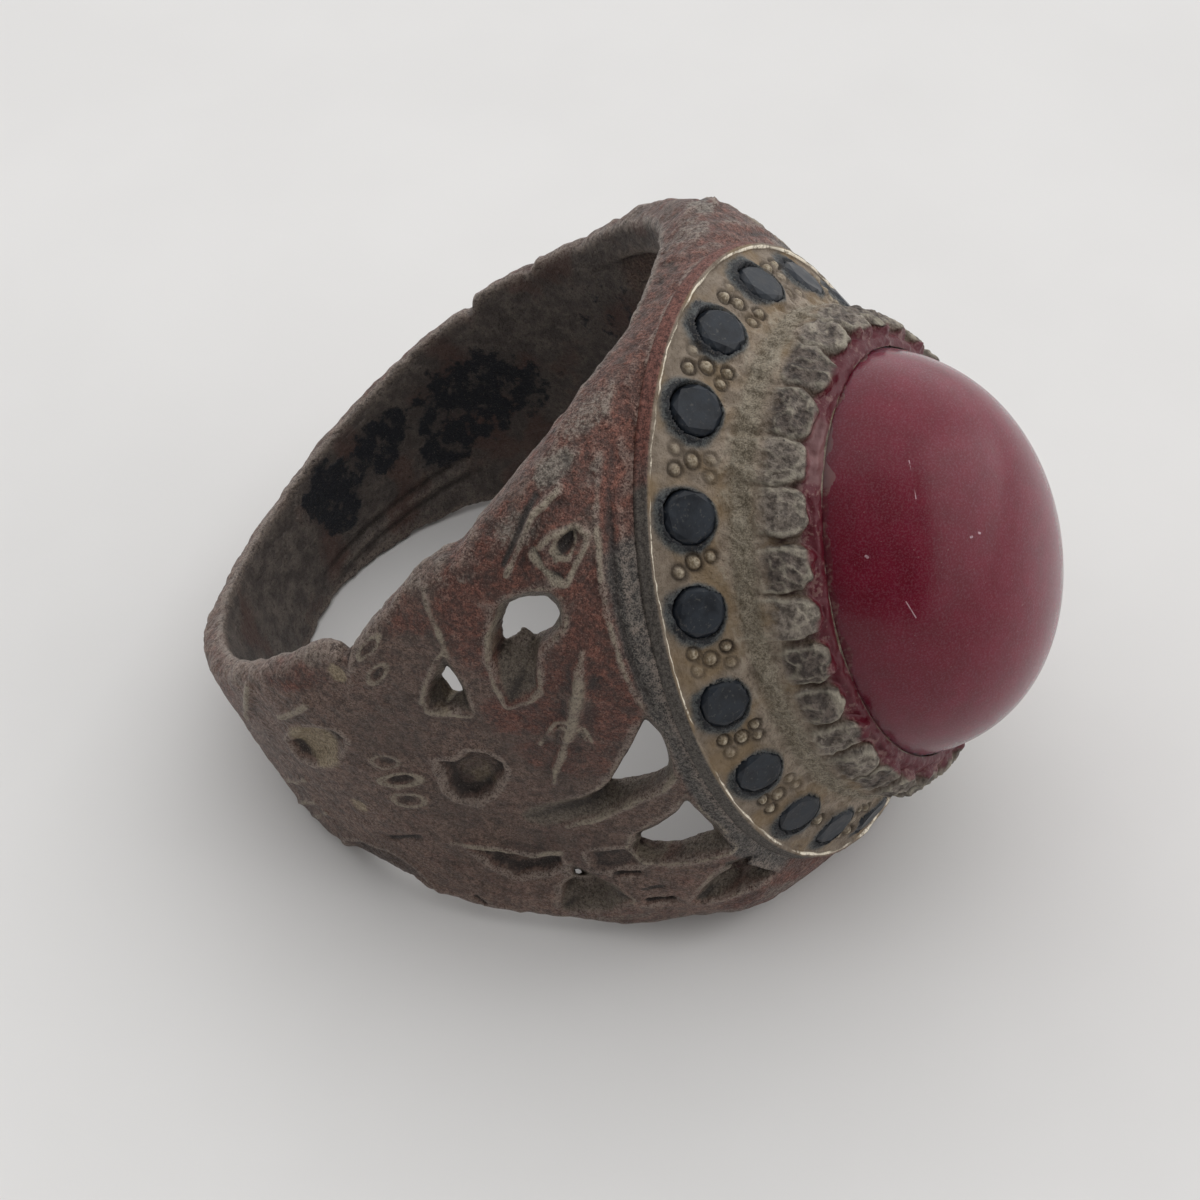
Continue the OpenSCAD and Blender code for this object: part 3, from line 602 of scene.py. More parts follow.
def turned(name, grid, low, high):
    """A closed skin over columns by rows of points, with its end points at the heights low and high."""
    cols, rows = grid.shape[:2]
    pts = np.concatenate([grid.reshape(-1, 3), [[0, 0, high], [0, 0, low]]])
    i, j = np.meshgrid(np.arange(cols), np.arange(rows - 1), indexing="ij")
    i, i1 = i * rows, (i + 1) % cols * rows
    faces = np.stack([i + j, i1 + j, i1 + j + 1, i + j + 1], -1).reshape(-1, 4).tolist()
    top = cols * rows
    faces += [[k * rows + rows - 1, (k + 1) % cols * rows + rows - 1, top] for k in range(cols)]
    faces += [[(k + 1) % cols * rows, k * rows, top + 1] for k in range(cols)]
    return make_mesh(name, pts, faces), pts


# Rings that close the plate. Columns: share of the radius, height
UNDER = [(0.4, 11.37), (0.8, 11.37)]
INNER = [(0.6515, 15.64), (0.658, 15.25), (0.668, 14.5), (0.671, 13.6), (0.671, 12.92), (0.4, 12.92)]
# Grains of a cluster. Columns: up the slope, along the ring, radius
CLUSTER = [(-0.62, -0.22, 0.16), (-0.6, 0.3, 0.16), (-0.02, 0, 0.2), (0.52, -0.3, 0.16), (0.48, 0.28, 0.17)]


def in_patch(turn):
    """1 over the turns of the pink patch of film."""
    return step(turn, 104, 106) * step(-turn, -124, -122)


def make_crown():
    cols = 930
    a1 = np.arange(cols) * 360 / cols
    t1 = np.concatenate([np.arange(0, 0.6, 0.05), np.arange(0.6, 3.0, 0.065), np.arange(3.0, 5.86, 0.062), [5.9]])
    a, t = np.meshgrid(a1, t1, indexing="ij")
    p = crown_base(a, t)
    n = np.cross(crown_base(a + 0.2, t) - crown_base(a - 0.2, t), crown_base(a, t + 0.08) - crown_base(a, t - 0.08))
    n /= np.linalg.norm(n, axis=-1, keepdims=True)
    q = p.reshape(-1, 3)
    shp = a.shape

    def field(cell, seed):
        return noise(q, cell, seed).reshape(shp)

    h = (0.045 * field(0.55, 21) + 0.03 * field(0.27, 22) + 0.016 * field(0.15, 23)) * step(t, 0.1, 0.5)
    h = h + 0.05 * field(2.2, 24) * step(t, 0.0, 0.8)
    masks = collections.defaultdict(lambda: np.zeros(shp))

    def mark(name, value):
        masks[name] = np.maximum(masks[name], value)

    rng = np.random.default_rng(7)
    # lobes of the collar
    phi = a + LEAD * np.sin(np.radians(2 * a)) - LOBE_TURN
    lobes = np.zeros(shp)
    warp = 0.1 * field(0.6, 25) + 0.06 * field(0.28, 32)
    for i in range(LOBES):
        mm = past(phi, i * 360 / LOBES + rng.uniform(-0.7, 0.7)) * along(a, 0.76)
        half, lo, hi = rng.uniform(0.72, 0.86), rng.uniform(3.0, 3.5), rng.uniform(5.3, 5.55)
        lean, power = rng.uniform(-0.1, 0.1), rng.uniform(2.4, 3.6)
        w = (t - (lo + hi) / 2) / ((hi - lo) / 2)
        u = (mm - lean * w + warp) / half
        w = w + 1.2 * warp
        body = np.maximum(1 - np.abs(u) ** power - np.abs(w) ** 3.0, 0)
        shape = body ** 0.5 * (0.12 + 0.88 * step(t, lo + 0.1, lo + 1.1))
        dent = 0.06 * np.exp(-((u - rng.uniform(-0.3, 0.3)) ** 2 + (w - rng.uniform(-0.5, 0.5)) ** 2) / 0.12)
        mine = rng.uniform(0.22, 0.34) * shape - dent * rng.choice([0, 1, 1.6])
        top = mine > lobes
        masks["tone"] = np.where(top & (mine > 0), rng.uniform(0, 1), masks["tone"])
        outline = bell(body - 0.45 - 0.1 * warp / 0.07, 0.16) * (w > -0.6)
        masks["outline"] = np.where(top, outline, masks["outline"])
        lobes = np.maximum(lobes, mine)
    lobe = masks["lobe"] = step(lobes, 0.04, 0.16)
    masks["gap"] = (1 - step(lobes, 0.03, 0.14)) * step(t, 4.0, 4.6)
    h += lobes - 0.07 * masks["gap"] + 0.035 * masks["outline"] * lobe
    # crust on the lobes and on the slope above the stones
    rugged = 1 - np.abs(noise(q + 0.2 * warp.reshape(-1, 1), 0.34, 28).reshape(shp)) * 2.2
    crusty = step(t, 2.1, 2.9) * step(-t, -4.6, -3.8)
    h += lobe * (0.05 * field(0.24, 31) + 0.06 * np.maximum(rugged, -0.4) + 0.03 * field(0.14, 33))
    h += crusty * (1 - lobe) * (0.05 * np.maximum(rugged, -0.4) + 0.04 * field(0.2, 35))
    mark("scale", np.maximum(lobe, 0.8 * crusty) * step(rugged, 0.72, 0.95))
    foot = bell(t - 3.35, 0.45)
    h += 0.09 * foot * (0.6 + 1.2 * field(0.35, 26))
    mark("crust", np.maximum(foot, 0.7 * masks["gap"]))
    mark("film", step(t + 0.3 * field(0.5, 29) - 0.35 * lobe, 4.75, 5.15))
    mark("patch", in_patch(a + 4 * warp) * step(t, 5.15, 5.3))
    h += masks["film"] * (0.05 * field(0.25, 30)) * step(-t, -5.88, -5.7)
    # seats, each with an uneven lip of old dirt
    up_t = t - STONE_T
    for i, turn in enumerate(TURNS):
        mm = past(a, turn) * along(a, STONE_SHARE)
        d = np.hypot(mm, up_t)
        ang = np.stack([mm, up_t, np.full(shp, float(i))], -1).reshape(-1, 3) / np.maximum(d, 0.3).reshape(-1, 1)
        jag = (noise(ang, 0.55, 40 + i) + 0.7 * noise(ang, 0.24, 60 + i)).reshape(shp)
        up_side = step((up_t - 0.5 * mm) / np.maximum(d, 0.2), -0.2, 0.9)
        low_side = step((0.8 * mm - up_t) / np.maximum(d, 0.2), -0.5, 0.8)
        edge_r = 0.83 - up_side * (0.09 + 0.05 * jag) - 0.03 * jag
        lip = bell(np.maximum(d - edge_r, 0), 0.17) * (0.12 + 0.05 * up_side + 0.03 * jag)
        h = h * (1 - 0.7 * step(-d, -1.1, -0.85)) + lip
        seat = step(-(d - edge_r), -0.02, 0.02)
        h = h * (1 - seat) - seat * (0.17 + 0.4 * np.clip(1 - d / 0.9, 0, 1))
        mark("halo", step(-d, -1.0 - 0.42 * low_side, -0.72 - 0.2 * low_side))
        mark("black", step(0.7 + 0.3 * low_side + 0.1 * jag - d, -0.24, 0.24))
    # clusters of ringed grains between the stones
    for turn, after in zip(TURNS, TURNS[1:] + [TURNS[0] + 360]):
        for down, aside, size in CLUSTER:
            if aside and abs(aside) > (after - turn) / 2 * 0.157 - 1.12:
                continue
            d = np.hypot(past(a, (turn + after) / 2) * along(a, STONE_SHARE) - aside - rng.uniform(-0.05, 0.05),
                         up_t + down + rng.uniform(-0.05, 0.05))
            dome = np.sqrt(np.maximum(1 - (d / size) ** 2, 0))
            power = rng.choice([1, 1, 0.8, 0.5])
            h += power * (0.1 * dome - 0.1 * bell(d - size - 0.04, 0.05) + 0.03 * bell(d - size - 0.14, 0.05))
            mark("grain", power * step(-d, -size, -size * 0.6))
            mark("ringed", power * bell(d - size - 0.05, 0.06))
    # the bright line along the edge
    masks["line"] = bell(t - 0.42 + 0.03 * field(0.5, 34), 0.07) * (0.85 + 0.35 * field(0.7, 27))
    h += 0.03 * masks["line"]
    p = p + n * h[..., None]
    p[..., 2] = np.maximum(p[..., 2], 11.37)
    p[:, 0] = oval(a1, 1.006, 11.31)
    p[:, 1, :2] *= 1.004
    under, inner = [[oval(a1, *row)[:, None] for row in rows] for rows in (UNDER, INNER)]
    obj, pts = turned("crown_plate", np.concatenate(under + [p] + inner, 1), UNDER[0][1], INNER[-1][1])

    def whole(values, mode):
        full = np.pad(values, [(0, 0), (len(UNDER), len(INNER))], mode=mode)
        return np.concatenate([full.ravel(), [0, 0]])

    put(obj, **{name: whole(m, "constant") for name, m in masks.items()}, up=whole(t, "edge"),
        rust=np.maximum(step(pts[:, 1], 7.5, 9.8), 0.9 * step(-pts[:, 1], 6.5, 8.5)))
    return obj


# The cabochon. Its dome is a superellipse of exponent CAB_N, CAB_H high over its widest line at CAB_Z
CAB_SHARE, CAB_Z, CAB_H, CAB_N = 12.1 / 18.2, 13.77, 6.2, 2.3
CAB_FOOT = [(0.97, 12.97), (0.985, 13.4)]  # share of its width, height
# Hairline scratches and chips of the stone: both ends in ring axes, half width
SCRATCHES = [
    ((-1.74, 5.47, 17.8), (-2.59, 4.72, 18.04), 0.013),
    ((-4.61, 2.49, 17.63), (-4.69, 1.9, 17.78), 0.013),
    ((-4.31, 4.08, 16.78), (-4.3, 4.03, 16.81), 0.035),
    ((-2.39, 2.94, 19.16), (-2.35, 2.92, 19.18), 0.03),
    ((-2.11, 2.84, 19.3), (-2.08, 2.8, 19.31), 0.03),
]


def make_cabochon():
    cols, rows = 400, 150
    lift = np.sin(np.linspace(0, 1, rows) * math.pi / 2)[:-1] ** 0.9
    share = (1 - lift ** CAB_N) ** (1 / CAB_N)
    share, z = np.concatenate([CAB_FOOT, np.stack([share, CAB_Z + CAB_H * lift], 1)]).T
    grid = oval(np.arange(cols)[:, None] * 360 / cols, share * CAB_SHARE, z)
    obj, pts = turned("red_cabochon", grid, CAB_FOOT[0][1], CAB_Z + CAB_H)
    turn = np.degrees(np.arctan2(pts[:, 1] / HEAD_RY, pts[:, 0] / HEAD_RX)) % 360
    patch = in_patch(turn)
    # where the film of old dirt round the stone's foot ends
    top_z = 15.7 + 0.08 * np.sin(np.radians(turn * 3)) + 0.18 * fractal(pts, 0.8, 61, 3)
    top_z += patch * (0.12 + 0.1 * np.sin(np.radians(turn * 40)))
    put(obj, film=step(-pts[:, 2], -top_z - 0.06, -top_z + 0.06), patch=patch)
    return obj


# Rings of a small cut stone, from its back to its table. Columns: corners, share of the radius, height, turn
STONE_RINGS = [(16, 0.12, -0.44, 0), (16, 0.99, -0.1, 0), (16, 0.985, 0.0, 0), (8, 0.92, 0.09, 22.5),
               (8, 0.81, 0.17, 0)]


def make_stone(i):
    rng = np.random.default_rng(900 + i)
    size = STONE_R * rng.uniform(0.96, 1.0)
    spin = rng.uniform(0, 45)
    pts, start = [], []
    for count, share, z, off in STONE_RINGS:
        start.append(len(pts))
        for k in range(count):
            r = math.radians(spin + off + 360 * k / count)
            radius = share * size * (1 + (rng.uniform(-0.03, 0.01) if share < 0.9 else 0))
            lift = rng.uniform(-0.012, 0.012) if share < 0.9 else 0
            pts.append([radius * math.cos(r), radius * math.sin(r), z + lift])
    a, b, c, d, e = start
    faces = [[a + k for k in range(16)][::-1], [e + k for k in range(8)]]
    for k in range(16):
        k1 = (k + 1) % 16
        faces += [[a + k, a + k1, b + k1, b + k], [b + k, b + k1, c + k1, c + k]]
    for k in range(8):
        k1 = (k + 1) % 8
        g0, g1, g2 = c + 2 * k, c + 2 * k + 1, c + (2 * k + 2) % 16
        faces += [[g0, g1, d + k], [g1, g2, d + k], [e + k, d + k, e + k1], [e + k1, d + k, g2, d + k1]]
    r = math.radians(TURNS[i])
    facing = math.atan2(math.sin(r), HEAD_RY / HEAD_RX * math.cos(r))
    tilt = SLOPE_TILT + math.radians(rng.uniform(-2, 2))
    m = Matrix.Rotation(facing, 3, "Z") @ Matrix.Rotation(tilt, 3, "Y")
    p = np.array(pts) @ np.array(m).T + oval(TURNS[i], STONE_SHARE, STONE_Z)
    return make_mesh("cut_stone_%02d" % (i + 1), p, faces, smooth=False)


class Graph:
    """Short ways to add shader nodes."""

    def __init__(self, tree):
        self.tree = tree

    def node(self, kind):
        return self.tree.nodes.new("ShaderNode" + kind)

    def link(self, value, socket):
        if isinstance(value, bpy.types.NodeSocket):
            self.tree.links.new(value, socket)
        elif isinstance(value, tuple) and len(value) == 3 and socket.type == "RGBA":
            socket.default_value = (*value, 1)
        else:
            socket.default_value = value

    def vector(self, op, a, b=None):
        n = self.node("VectorMath")
        n.operation = op
        self.link(a, n.inputs[0])
        if b is not None:
            self.link(b, n.inputs["Scale" if op == "SCALE" else 1])
        return n.outputs["Value" if op in ("DOT_PRODUCT", "LENGTH") else 0]

    def math(self, op, *values):
        n = self.node("Math")
        n.operation = op
        for value, socket in zip(values, n.inputs):
            self.link(value, socket)
        return n.outputs[0]

    def times(self, a, b):
        return self.math("MULTIPLY", a, b)

    def weigh(self, a, part_a, b, part_b):
        return self.math("MULTIPLY_ADD", a, part_a, self.times(b, part_b))

    def ramp(self, x, lo, hi, a=0.0, b=1.0):
        """From a to b as x goes from lo to hi."""
        n = self.node("MapRange")
        n.interpolation_type = "SMOOTHSTEP"
        for value, socket in zip((x, lo, hi, a, b), n.inputs):
            self.link(value, socket)
        return n.outputs[0]

    def mix(self, share, a, b):
        n = self.node("Mix")
        n.data_type = "RGBA"
        for value, k in ((share, 0), (a, 6), (b, 7)):
            self.link(value, n.inputs[k])
        return n.outputs[2]

    def tone(self, x, lo, hi, a, b):
        """From colour a to colour b as x goes from lo to hi."""
        return self.mix(self.ramp(x, lo, hi), a, b)


class Surface(Graph):
    """A material. Places are in mm, and self.base is its colour so far."""

    def __init__(self, name):
        self.mat = bpy.data.materials.new(name)
        self.mat.use_nodes = True
        super().__init__(self.mat.node_tree)
        self.tree.nodes.clear()
        self.bsdf = self.node("BsdfPrincipled")
        self.link(self.bsdf.outputs[0], self.node("OutputMaterial").inputs[0])
        self.place = self.vector("SCALE", self.node("TexCoord").outputs["Object"], 1000)

    def attr(self, name):
        n = self.node("Attribute")
        n.attribute_name = name
        return n.outputs["Fac"]

    def texture(self, kind, size):
        n = self.node(kind)
        n.inputs["Scale"].default_value = 1 / size
        self.link(self.place, n.inputs["Vector"])
        return n

    def noise(self, size, detail=3, rough=0.55):
        n = self.texture("TexNoise", size)
        n.inputs["Detail"].default_value = detail
        n.inputs["Roughness"].default_value = rough
        return n.outputs[0]

    def over(self, share, colour):
        self.base = self.mix(share, self.base, colour)

    def patch(self, mask, noise, soft=0.5):
        """A mask broken up by noise: full where the mask is 1, ragged where it fades."""
        ragged = self.math("ADD", mask, self.math("MULTIPLY_ADD", noise, 1.0, -0.5))
        return self.ramp(ragged, 0.5 - soft / 2, 0.5 + soft / 2)

    def segment(self, start, end, half):
        """1 on a line between two places in ring axes, 0 off it."""
        a, b = [Vector(to_world(np.array(e)) * 1000) for e in (start, end)]
        way = b - a
        off = self.vector("SUBTRACT", self.place, tuple(a))
        along_it = self.math("MINIMUM", self.vector("DOT_PRODUCT", off, tuple(way / way.length_squared)), 1.0)
        nearest = self.vector("SCALE", tuple(way), self.math("MAXIMUM", along_it, 0.0))
        return self.ramp(self.vector("LENGTH", self.vector("SUBTRACT", off, nearest)), half * 1.6, half * 0.6)

    def finish(self, *bumps, **sockets):
        """Rows of bumps: height, strength, depth in mm. Each lies on the one before it."""
        normal = None
        for height, strength, depth in bumps:
            n = self.node("Bump")
            n.inputs["Strength"].default_value = strength
            n.inputs["Distance"].default_value = depth / 1000
            self.link(height, n.inputs["Height"])
            if normal is not None:
                self.link(normal, n.inputs["Normal"])
            normal = n.outputs[0]
        for k, value in dict(sockets, Normal=normal).items():
            self.link(value, self.bsdf.inputs[k.replace("_", " ")])
        return self.mat


def cast_metal():
    g = Surface("cast_metal")
    fine, grit, mid, wide = g.noise(0.13, 3, 0.65), g.noise(0.05, 2, 0.6), g.noise(0.6, 4, 0.6), g.noise(2.4, 3)
    grain = g.weigh(grit, 0.5, fine, 0.5)

    def grainy(dark, light, lo=0.38, hi=0.62):
        return g.tone(grain, lo, hi, dark, light)

    # brown patina, warmer at the lower end and the shank
    g.base = grainy((0.056, 0.033, 0.025), (0.205, 0.132, 0.102))
    g.over(g.ramp(wide, 0.42, 0.62, 0, 0.45), (0.07, 0.05, 0.041))
    g.over(g.ramp(mid, 0.45, 0.7, 0, 0.5), grainy((0.07, 0.036, 0.028), (0.16, 0.085, 0.066), 0.36))
    warm = g.math("ADD", g.attr("warm"), g.math("MULTIPLY_ADD", mid, 1.2, -0.6))
    g.over(g.ramp(warm, 0.1, 1.0, 0, 0.75), grainy((0.11, 0.062, 0.047), (0.3, 0.198, 0.155)))
    # red patina, the openings' walls, bare metal, then grime and painted shade in the recesses and grooves
    red = grainy((0.052, 0.017, 0.012), (0.225, 0.088, 0.060), 0.38, 0.63)
    red = g.mix(g.ramp(g.noise(0.35, 3, 0.6), 0.42, 0.6, 0, 0.55), red, (0.045, 0.022, 0.018))
    g.over(g.patch(g.times(g.attr("red"), 0.92), g.weigh(mid, 0.6, fine, 0.4), 0.4), red)
    g.over(g.ramp(g.noise(0.4, 3, 0.6), 0.45, 0.62, 0, 0.5), (0.035, 0.025, 0.021))
    g.over(g.attr("wall"), grainy((0.06, 0.046, 0.037), (0.19, 0.155, 0.118), 0.35, 0.65))
    g.over(g.patch(g.times(g.attr("bare"), 0.85), fine), grainy((0.085, 0.07, 0.058), (0.24, 0.205, 0.17)))
    # grime and painted shade in the sunken places
    g.over(g.patch(g.attr("dark"), mid, 0.8), grainy((0.02, 0.015, 0.013), (0.06, 0.045, 0.038), 0.35, 0.65))
    grey = grainy((0.024, 0.021, 0.02), (0.135, 0.12, 0.105), 0.4, 0.61)
    g.over(g.attr("band"), g.mix(g.patch(g.attr("rust"), mid, 0.8), grey, red))
    # the inner wall, with reddish stains and black crust
    inner = g.tone(mid, 0.35, 0.7, (0.085, 0.069, 0.062), (0.19, 0.158, 0.135))
    g.over(g.attr("inner"), g.mix(g.ramp(grain, 0.5, 0.36, 0, 0.6), inner, (0.035, 0.03, 0.027)))
    g.over(g.times(g.times(g.ramp(wide, 0.5, 0.62), g.attr("inner")), 0.6), (0.1, 0.045, 0.035))
    black = g.patch(g.times(g.attr("black"), 0.8), g.math("MULTIPLY_ADD", mid, 1.6, -0.3), 0.25)
    g.over(black, (0.010, 0.012, 0.018))
    # painted shade in the hollows, painted highlight on the bulging edges, then dirt, pits and specks
    cavity = g.attr("cavity")
    # painted shade: concave hollows are darkened
    g.over(g.ramp(cavity, -0.05, -0.6, 0, 0.8), (0.024, 0.018, 0.016))
    # painted highlight: convex edges are lightened
    g.over(g.times(g.ramp(cavity, 0.08, 0.5, 0, 0.75), g.ramp(grain, 0.38, 0.58)), (0.27, 0.215, 0.178))
    g.over(g.times(g.ramp(g.attr("pale"), 0.25, 0.8), g.ramp(grain, 0.36, 0.56, 0.3, 0.9)), (0.28, 0.24, 0.18))
    g.over(g.patch(g.attr("dirt"), mid), grainy((0.16, 0.12, 0.072), (0.36, 0.29, 0.195)))
    cells = g.texture("TexVoronoi", 0.32).outputs["Distance"]
    pits = g.times(g.ramp(cells, 0.3, 0.08), g.ramp(mid, 0.5, 0.6))
    g.over(g.times(pits, 0.6), (0.02, 0.015, 0.013))
    g.over(g.ramp(grit, 0.62, 0.72, 0, 0.45), (0.3, 0.25, 0.2))
    return g.finish((mid, 0.7, 0.18), (g.noise(0.26, 4, 0.65), 0.8, 0.11), (fine, 0.8, 0.06), (pits, -0.6, 0.06),
                    (grit, 0.5, 0.025), Base_Color=g.base, Roughness=g.ramp(grain, 0.38, 0.62, 0.6, 0.38),
                    Metallic=0.25, Specular_IOR_Level=0.5)


def crown_metal():
    g = Surface("crown_metal")
    fine, grit, mid, wide = g.noise(0.13, 3, 0.65), g.noise(0.05, 2, 0.6), g.noise(0.5, 4, 0.6), g.noise(1.6, 2)
    grain, up, lobe = g.weigh(grit, 0.5, fine, 0.5), g.attr("up"), g.attr("lobe")

    def ragged(lo, hi):
        return g.ramp(mid, 0.3, 0.6, lo, hi)

    # the slope
    g.base = g.tone(mid, 0.3, 0.7, (0.142, 0.108, 0.078), (0.225, 0.18, 0.136))
    g.over(g.times(g.ramp(up, 1.9, 2.9), g.ramp(mid, 0.36, 0.62, 0.1, 0.9)), (0.33, 0.265, 0.205))
    g.over(g.ramp(grain, 0.5, 0.36, 0, 0.5), (0.075, 0.056, 0.038))
    g.over(g.ramp(wide, 0.45, 0.65, 0, 0.7), (0.19, 0.128, 0.065))
    g.over(g.patch(g.attr("crust"), mid, 0.8), g.tone(grain, 0.38, 0.62, (0.12, 0.098, 0.07), (0.3, 0.255, 0.19)))
    # the collar's lobes
    coarse = g.weigh(g.noise(0.28, 3, 0.6), 0.6, fine, 0.4)
    light = g.tone(coarse, 0.4, 0.6, (0.092, 0.074, 0.061), (0.25, 0.212, 0.175))
    dusk = g.tone(coarse, 0.4, 0.62, (0.042, 0.032, 0.027), (0.135, 0.106, 0.088))
    shade = g.math("ADD", g.attr("tone"), g.math("MULTIPLY_ADD", mid, 2.4, -1.2))
    g.over(g.times(lobe, g.patch(g.ramp(up, 3.5, 4.5), mid)), g.tone(shade, 0.2, 1.0, dusk, light))
    g.over(g.times(g.times(g.attr("outline"), lobe), g.ramp(mid, 0.35, 0.6, 0.1, 0.75)), (0.33, 0.3, 0.235))
    g.over(g.times(g.attr("scale"), ragged(0.1, 0.6)), (0.36, 0.32, 0.25))
    g.over(g.times(g.attr("gap"), ragged(0.5, 1.0)), (0.05, 0.022, 0.018))
    # black dirt round the stones, and the grains
    g.over(g.patch(g.attr("halo"), mid, 0.9), g.tone(grain, 0.36, 0.6, (0.03, 0.034, 0.037), (0.085, 0.09, 0.088)))
    broken = g.math("MULTIPLY_ADD", g.weigh(coarse, 0.5, fine, 0.5), 3.0, -1.0)
    black = g.tone(grain, 0.55, 0.68, (0.010, 0.011, 0.014), (0.09, 0.08, 0.065))
    g.over(g.patch(g.attr("black"), broken, 0.25), black)
    g.over(g.attr("ringed"), (0.05, 0.035, 0.022))
    g.over(g.attr("grain"), g.tone(fine, 0.35, 0.65, (0.17, 0.13, 0.08), (0.42, 0.36, 0.27)))
    # the glassy red film at the foot of the cabochon
    specks = g.math("ADD", g.weigh(fine, 0.5, mid, 0.5), g.ramp(up, 5.7, 5.0, 0, 0.1))
    glassy = g.times(g.patch(g.attr("film"), mid, 0.7), g.ramp(up, 4.9, 5.3))
    g.over(glassy, g.tone(specks, 0.55, 0.62, (0.075, 0.002, 0.009), (0.15, 0.065, 0.06)))
    g.over(g.attr("patch"), g.tone(mid, 0.3, 0.7, (0.135, 0.055, 0.058), (0.175, 0.082, 0.08)))
    # the bright line, and the plate's side below it
    line = g.times(g.ramp(g.attr("line"), 0.55, 0.8), g.ramp(g.weigh(mid, 0.5, fine, 0.5), 0.38, 0.54, 0.1, 1.0))
    g.over(line, (0.85, 0.77, 0.63))
    wall = g.tone(grain, 0.36, 0.64, (0.035, 0.03, 0.027), (0.115, 0.1, 0.085))
    rust = g.tone(grain, 0.38, 0.63, (0.05, 0.016, 0.012), (0.2, 0.075, 0.055))
    g.over(g.ramp(up, 0.36, 0.3), g.mix(g.patch(g.attr("rust"), mid, 0.8), wall, rust))
    rough = g.times(g.ramp(grain, 0.35, 0.65, 0.7, 0.5), g.math("MULTIPLY_ADD", glassy, -0.35, 1.0))
    loud = g.times(g.math("MULTIPLY_ADD", lobe, 0.4, g.ramp(up, 0.6, 2.6, 0.5, 1.15)),
                   g.math("MULTIPLY_ADD", glassy, -0.7, 1.0))
    return g.finish((g.times(mid, loud), 0.7, 0.14), (g.times(fine, loud), 0.9, 0.08), (grit, 0.35, 0.02),
                    Base_Color=g.base, Roughness=rough, Metallic=0.05, Specular_IOR_Level=0.35)


def red_stone():
    g = Surface("red_stone")
    fine, mid, frost = g.noise(0.12, 3, 0.6), g.noise(0.8, 3), g.noise(0.06, 2, 0.7)
    g.base = g.tone(mid, 0.3, 0.7, (0.115, 0.001, 0.011), (0.14, 0.002, 0.016))
    g.over(g.ramp(frost, 0.42, 0.7, 0, 0.16), (0.33, 0.17, 0.22))
    dirt = g.tone(g.weigh(fine, 0.5, mid, 0.5), 0.46, 0.62, (0.105, 0.003, 0.012), (0.19, 0.085, 0.075))
    dirt = g.mix(g.attr("patch"), dirt, g.tone(mid, 0.3, 0.7, (0.15, 0.062, 0.066), (0.195, 0.092, 0.09)))
    film = g.patch(g.attr("film"), mid, 0.3)
    g.over(film, dirt)
    g.over(g.ramp(g.noise(0.09, 1), 0.74, 0.8, 0, 0.3), (0.35, 0.22, 0.22))
    for scratch in SCRATCHES:
        g.over(g.times(g.segment(*scratch), g.ramp(fine, 0.3, 0.5, 0.2, 0.9)), (0.52, 0.38, 0.42))
    rough = g.mix(film, g.ramp(mid, 0.3, 0.7, 0.16, 0.24), (0.5, 0.5, 0.5))
    return g.finish((g.noise(1.5, 2), 0.05, 0.05), (frost, 0.14, 0.012), Base_Color=g.base, Roughness=rough,
                    IOR=1.5, Specular_IOR_Level=0.28, Subsurface_Weight=0.8, Subsurface_Radius=(4.0, 1.0, 1.0),
                    Subsurface_Scale=0.001, Sheen_Weight=0.09, Sheen_Roughness=0.5, Sheen_Tint=(0.62, 0.74, 0.85))


def dark_stone():
    g = Surface("dark_stone")
    fine, mid = g.noise(0.12, 3, 0.6), g.noise(0.5, 3)
    g.base = g.tone(mid, 0.3, 0.7, (0.006, 0.008, 0.012), (0.016, 0.021, 0.029))
    g.over(g.ramp(fine, 0.58, 0.72, 0, 0.45), (0.085, 0.08, 0.072))
    return g.finish((g.noise(0.25, 3), 0.35, 0.03), Base_Color=g.base, Roughness=g.ramp(mid, 0.3, 0.7, 0.3, 0.5),
                    IOR=1.5, Specular_IOR_Level=0.3)


def paper():
    g = Surface("table")
    tone = g.tone(g.noise(12, 3), 0.3, 0.7, (0.735, 0.725, 0.715), (0.755, 0.745, 0.735))
    return g.finish((g.noise(0.3, 3), 0.14, 0.02), Base_Color=tone, Roughness=0.85, Specular_IOR_Level=0.2)


def add(obj, material, slot, *nodes):
    obj.data.materials.clear()
    obj.data.materials.append(material)
    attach(obj, "root")
    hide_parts(*nodes)


add(make_body(), cast_metal(), "cast_metal", "ring_body")
add(make_crown(), crown_metal(), "crown_metal", "crown")
add(make_cabochon(), red_stone(), "red_stone", "cabochon")
dark = dark_stone()
for i in range(len(TURNS)):
    add(make_stone(i), dark, "dark_stone", "accent_stone_%02d" % (i + 1))

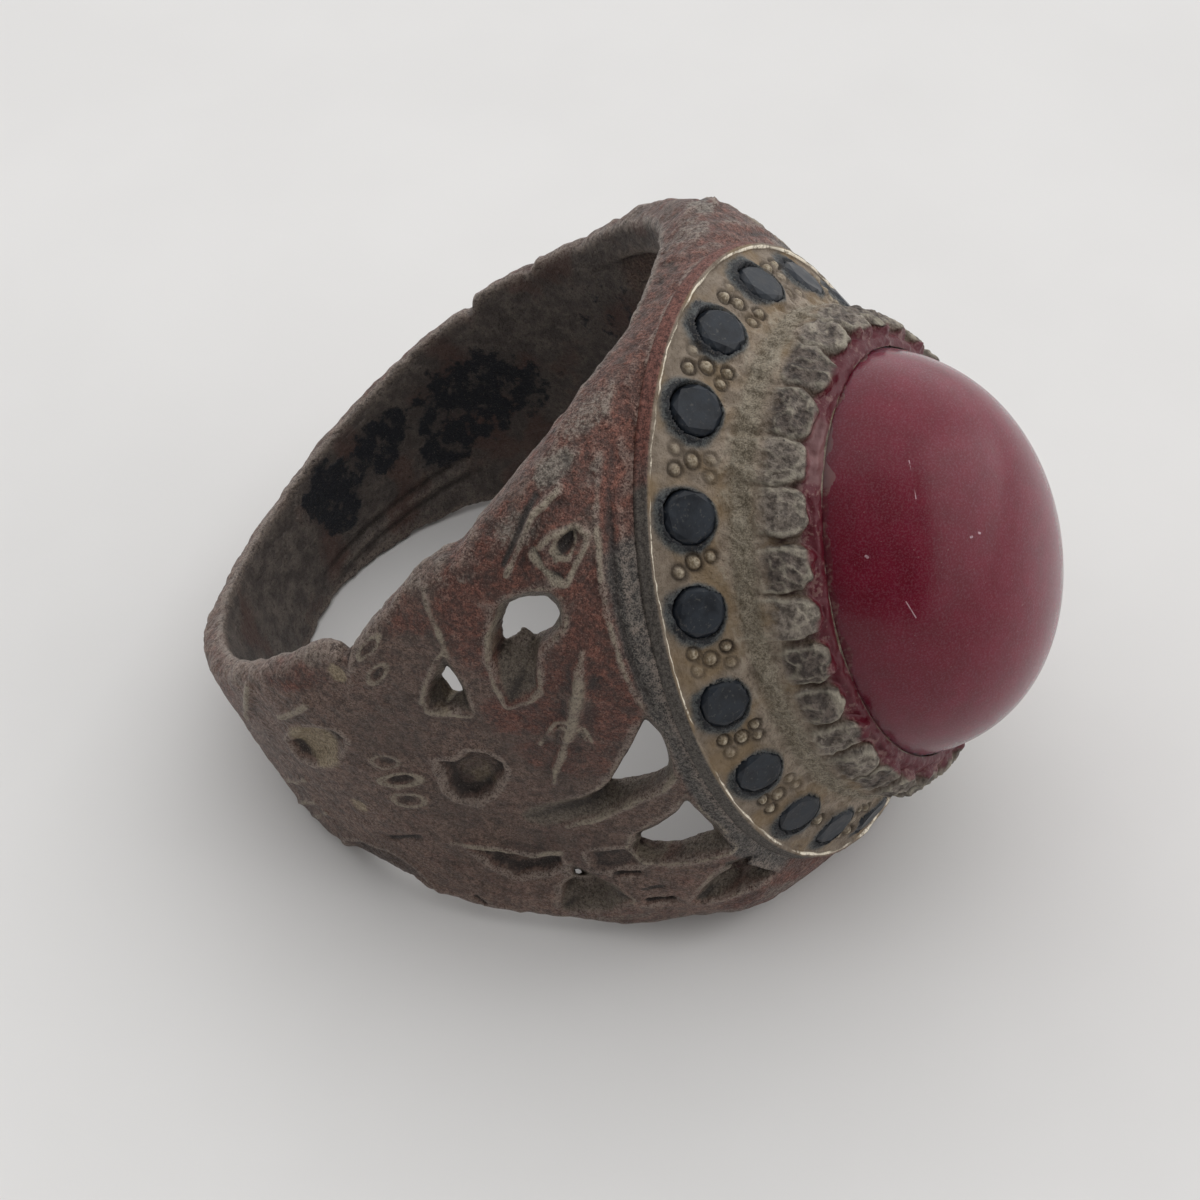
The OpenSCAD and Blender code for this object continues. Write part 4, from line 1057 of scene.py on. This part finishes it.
# The table
mesh = bpy.data.meshes.new("table_top")
side = 0.6
mesh.from_pydata([(-side, -side, 0), (side, -side, 0), (side, side, 0), (-side, side, 0)], [], [(0, 1, 2, 3)])
table = bpy.data.objects.new("table_top", mesh)
bpy.context.scene.collection.objects.link(table)
mesh.materials.append(paper())

# The light is all from the room: a soft sky, a dark figure in front of it and a window
world = bpy.data.worlds.new("room")
bpy.context.scene.world = world
world.use_nodes = True
room = Graph(world.node_tree)
toward = room.node("TexCoord").outputs["Generated"]


def side_of(axis, *levels):
    """A smooth change of level across the room, by the share of axis in the direction looked in."""
    return room.ramp(room.vector("DOT_PRODUCT", toward, tuple(Vector(axis).normalized())), *levels)


sky = side_of((0.6, 0.04, 0.78), -0.3, 1.0, 0.3, 1.4)
low = (0.63, -0.59, -0.5)
person = room.times(side_of(low, -0.06, 0.06, 1, 0), side_of((0.88, 0.41, 0.245), -0.08, 0.08, 1, 0))
window = room.times(side_of(low, 0.0, 0.15, 0, 1), side_of((0.5, 0.83, 0.246), -0.12, 0.08, 1, 0))
sky = room.times(sky, room.math("MULTIPLY_ADD", person, -0.4, 1.0))
back = world.node_tree.nodes["Background"]
room.link(room.math("MULTIPLY_ADD", window, 0.85, sky), back.inputs["Strength"])
back.inputs["Color"].default_value = (0.985, 0.985, 0.985, 1)

# The camera, fitted to the photograph: lens in mm, place in metres, and the picture's own axes
cam = bpy.data.cameras.new("photo_view")
cam.lens, cam.sensor_width, cam.sensor_fit = 67.108, 36, "HORIZONTAL"
cam.clip_start, cam.clip_end = 0.005, 5
obj = bpy.data.objects.new("photo_view", cam)
bpy.context.scene.collection.objects.link(obj)
right, up, back_way = (Vector(v).normalized() for v in (
    (0.3679, -0.9290, -0.0398), (0.7100, 0.2530, 0.6571), (-0.6004, -0.2700, 0.7527)))
m = Matrix((right, up, back_way)).transposed().to_4x4()
m.translation = (-0.04734, -0.02053, 0.064774)
obj.matrix_world = m
bpy.context.scene.camera = obj
view = bpy.context.scene.view_settings
view.view_transform, view.look, view.exposure, view.gamma = "Standard", "None", 0.0, 1.0
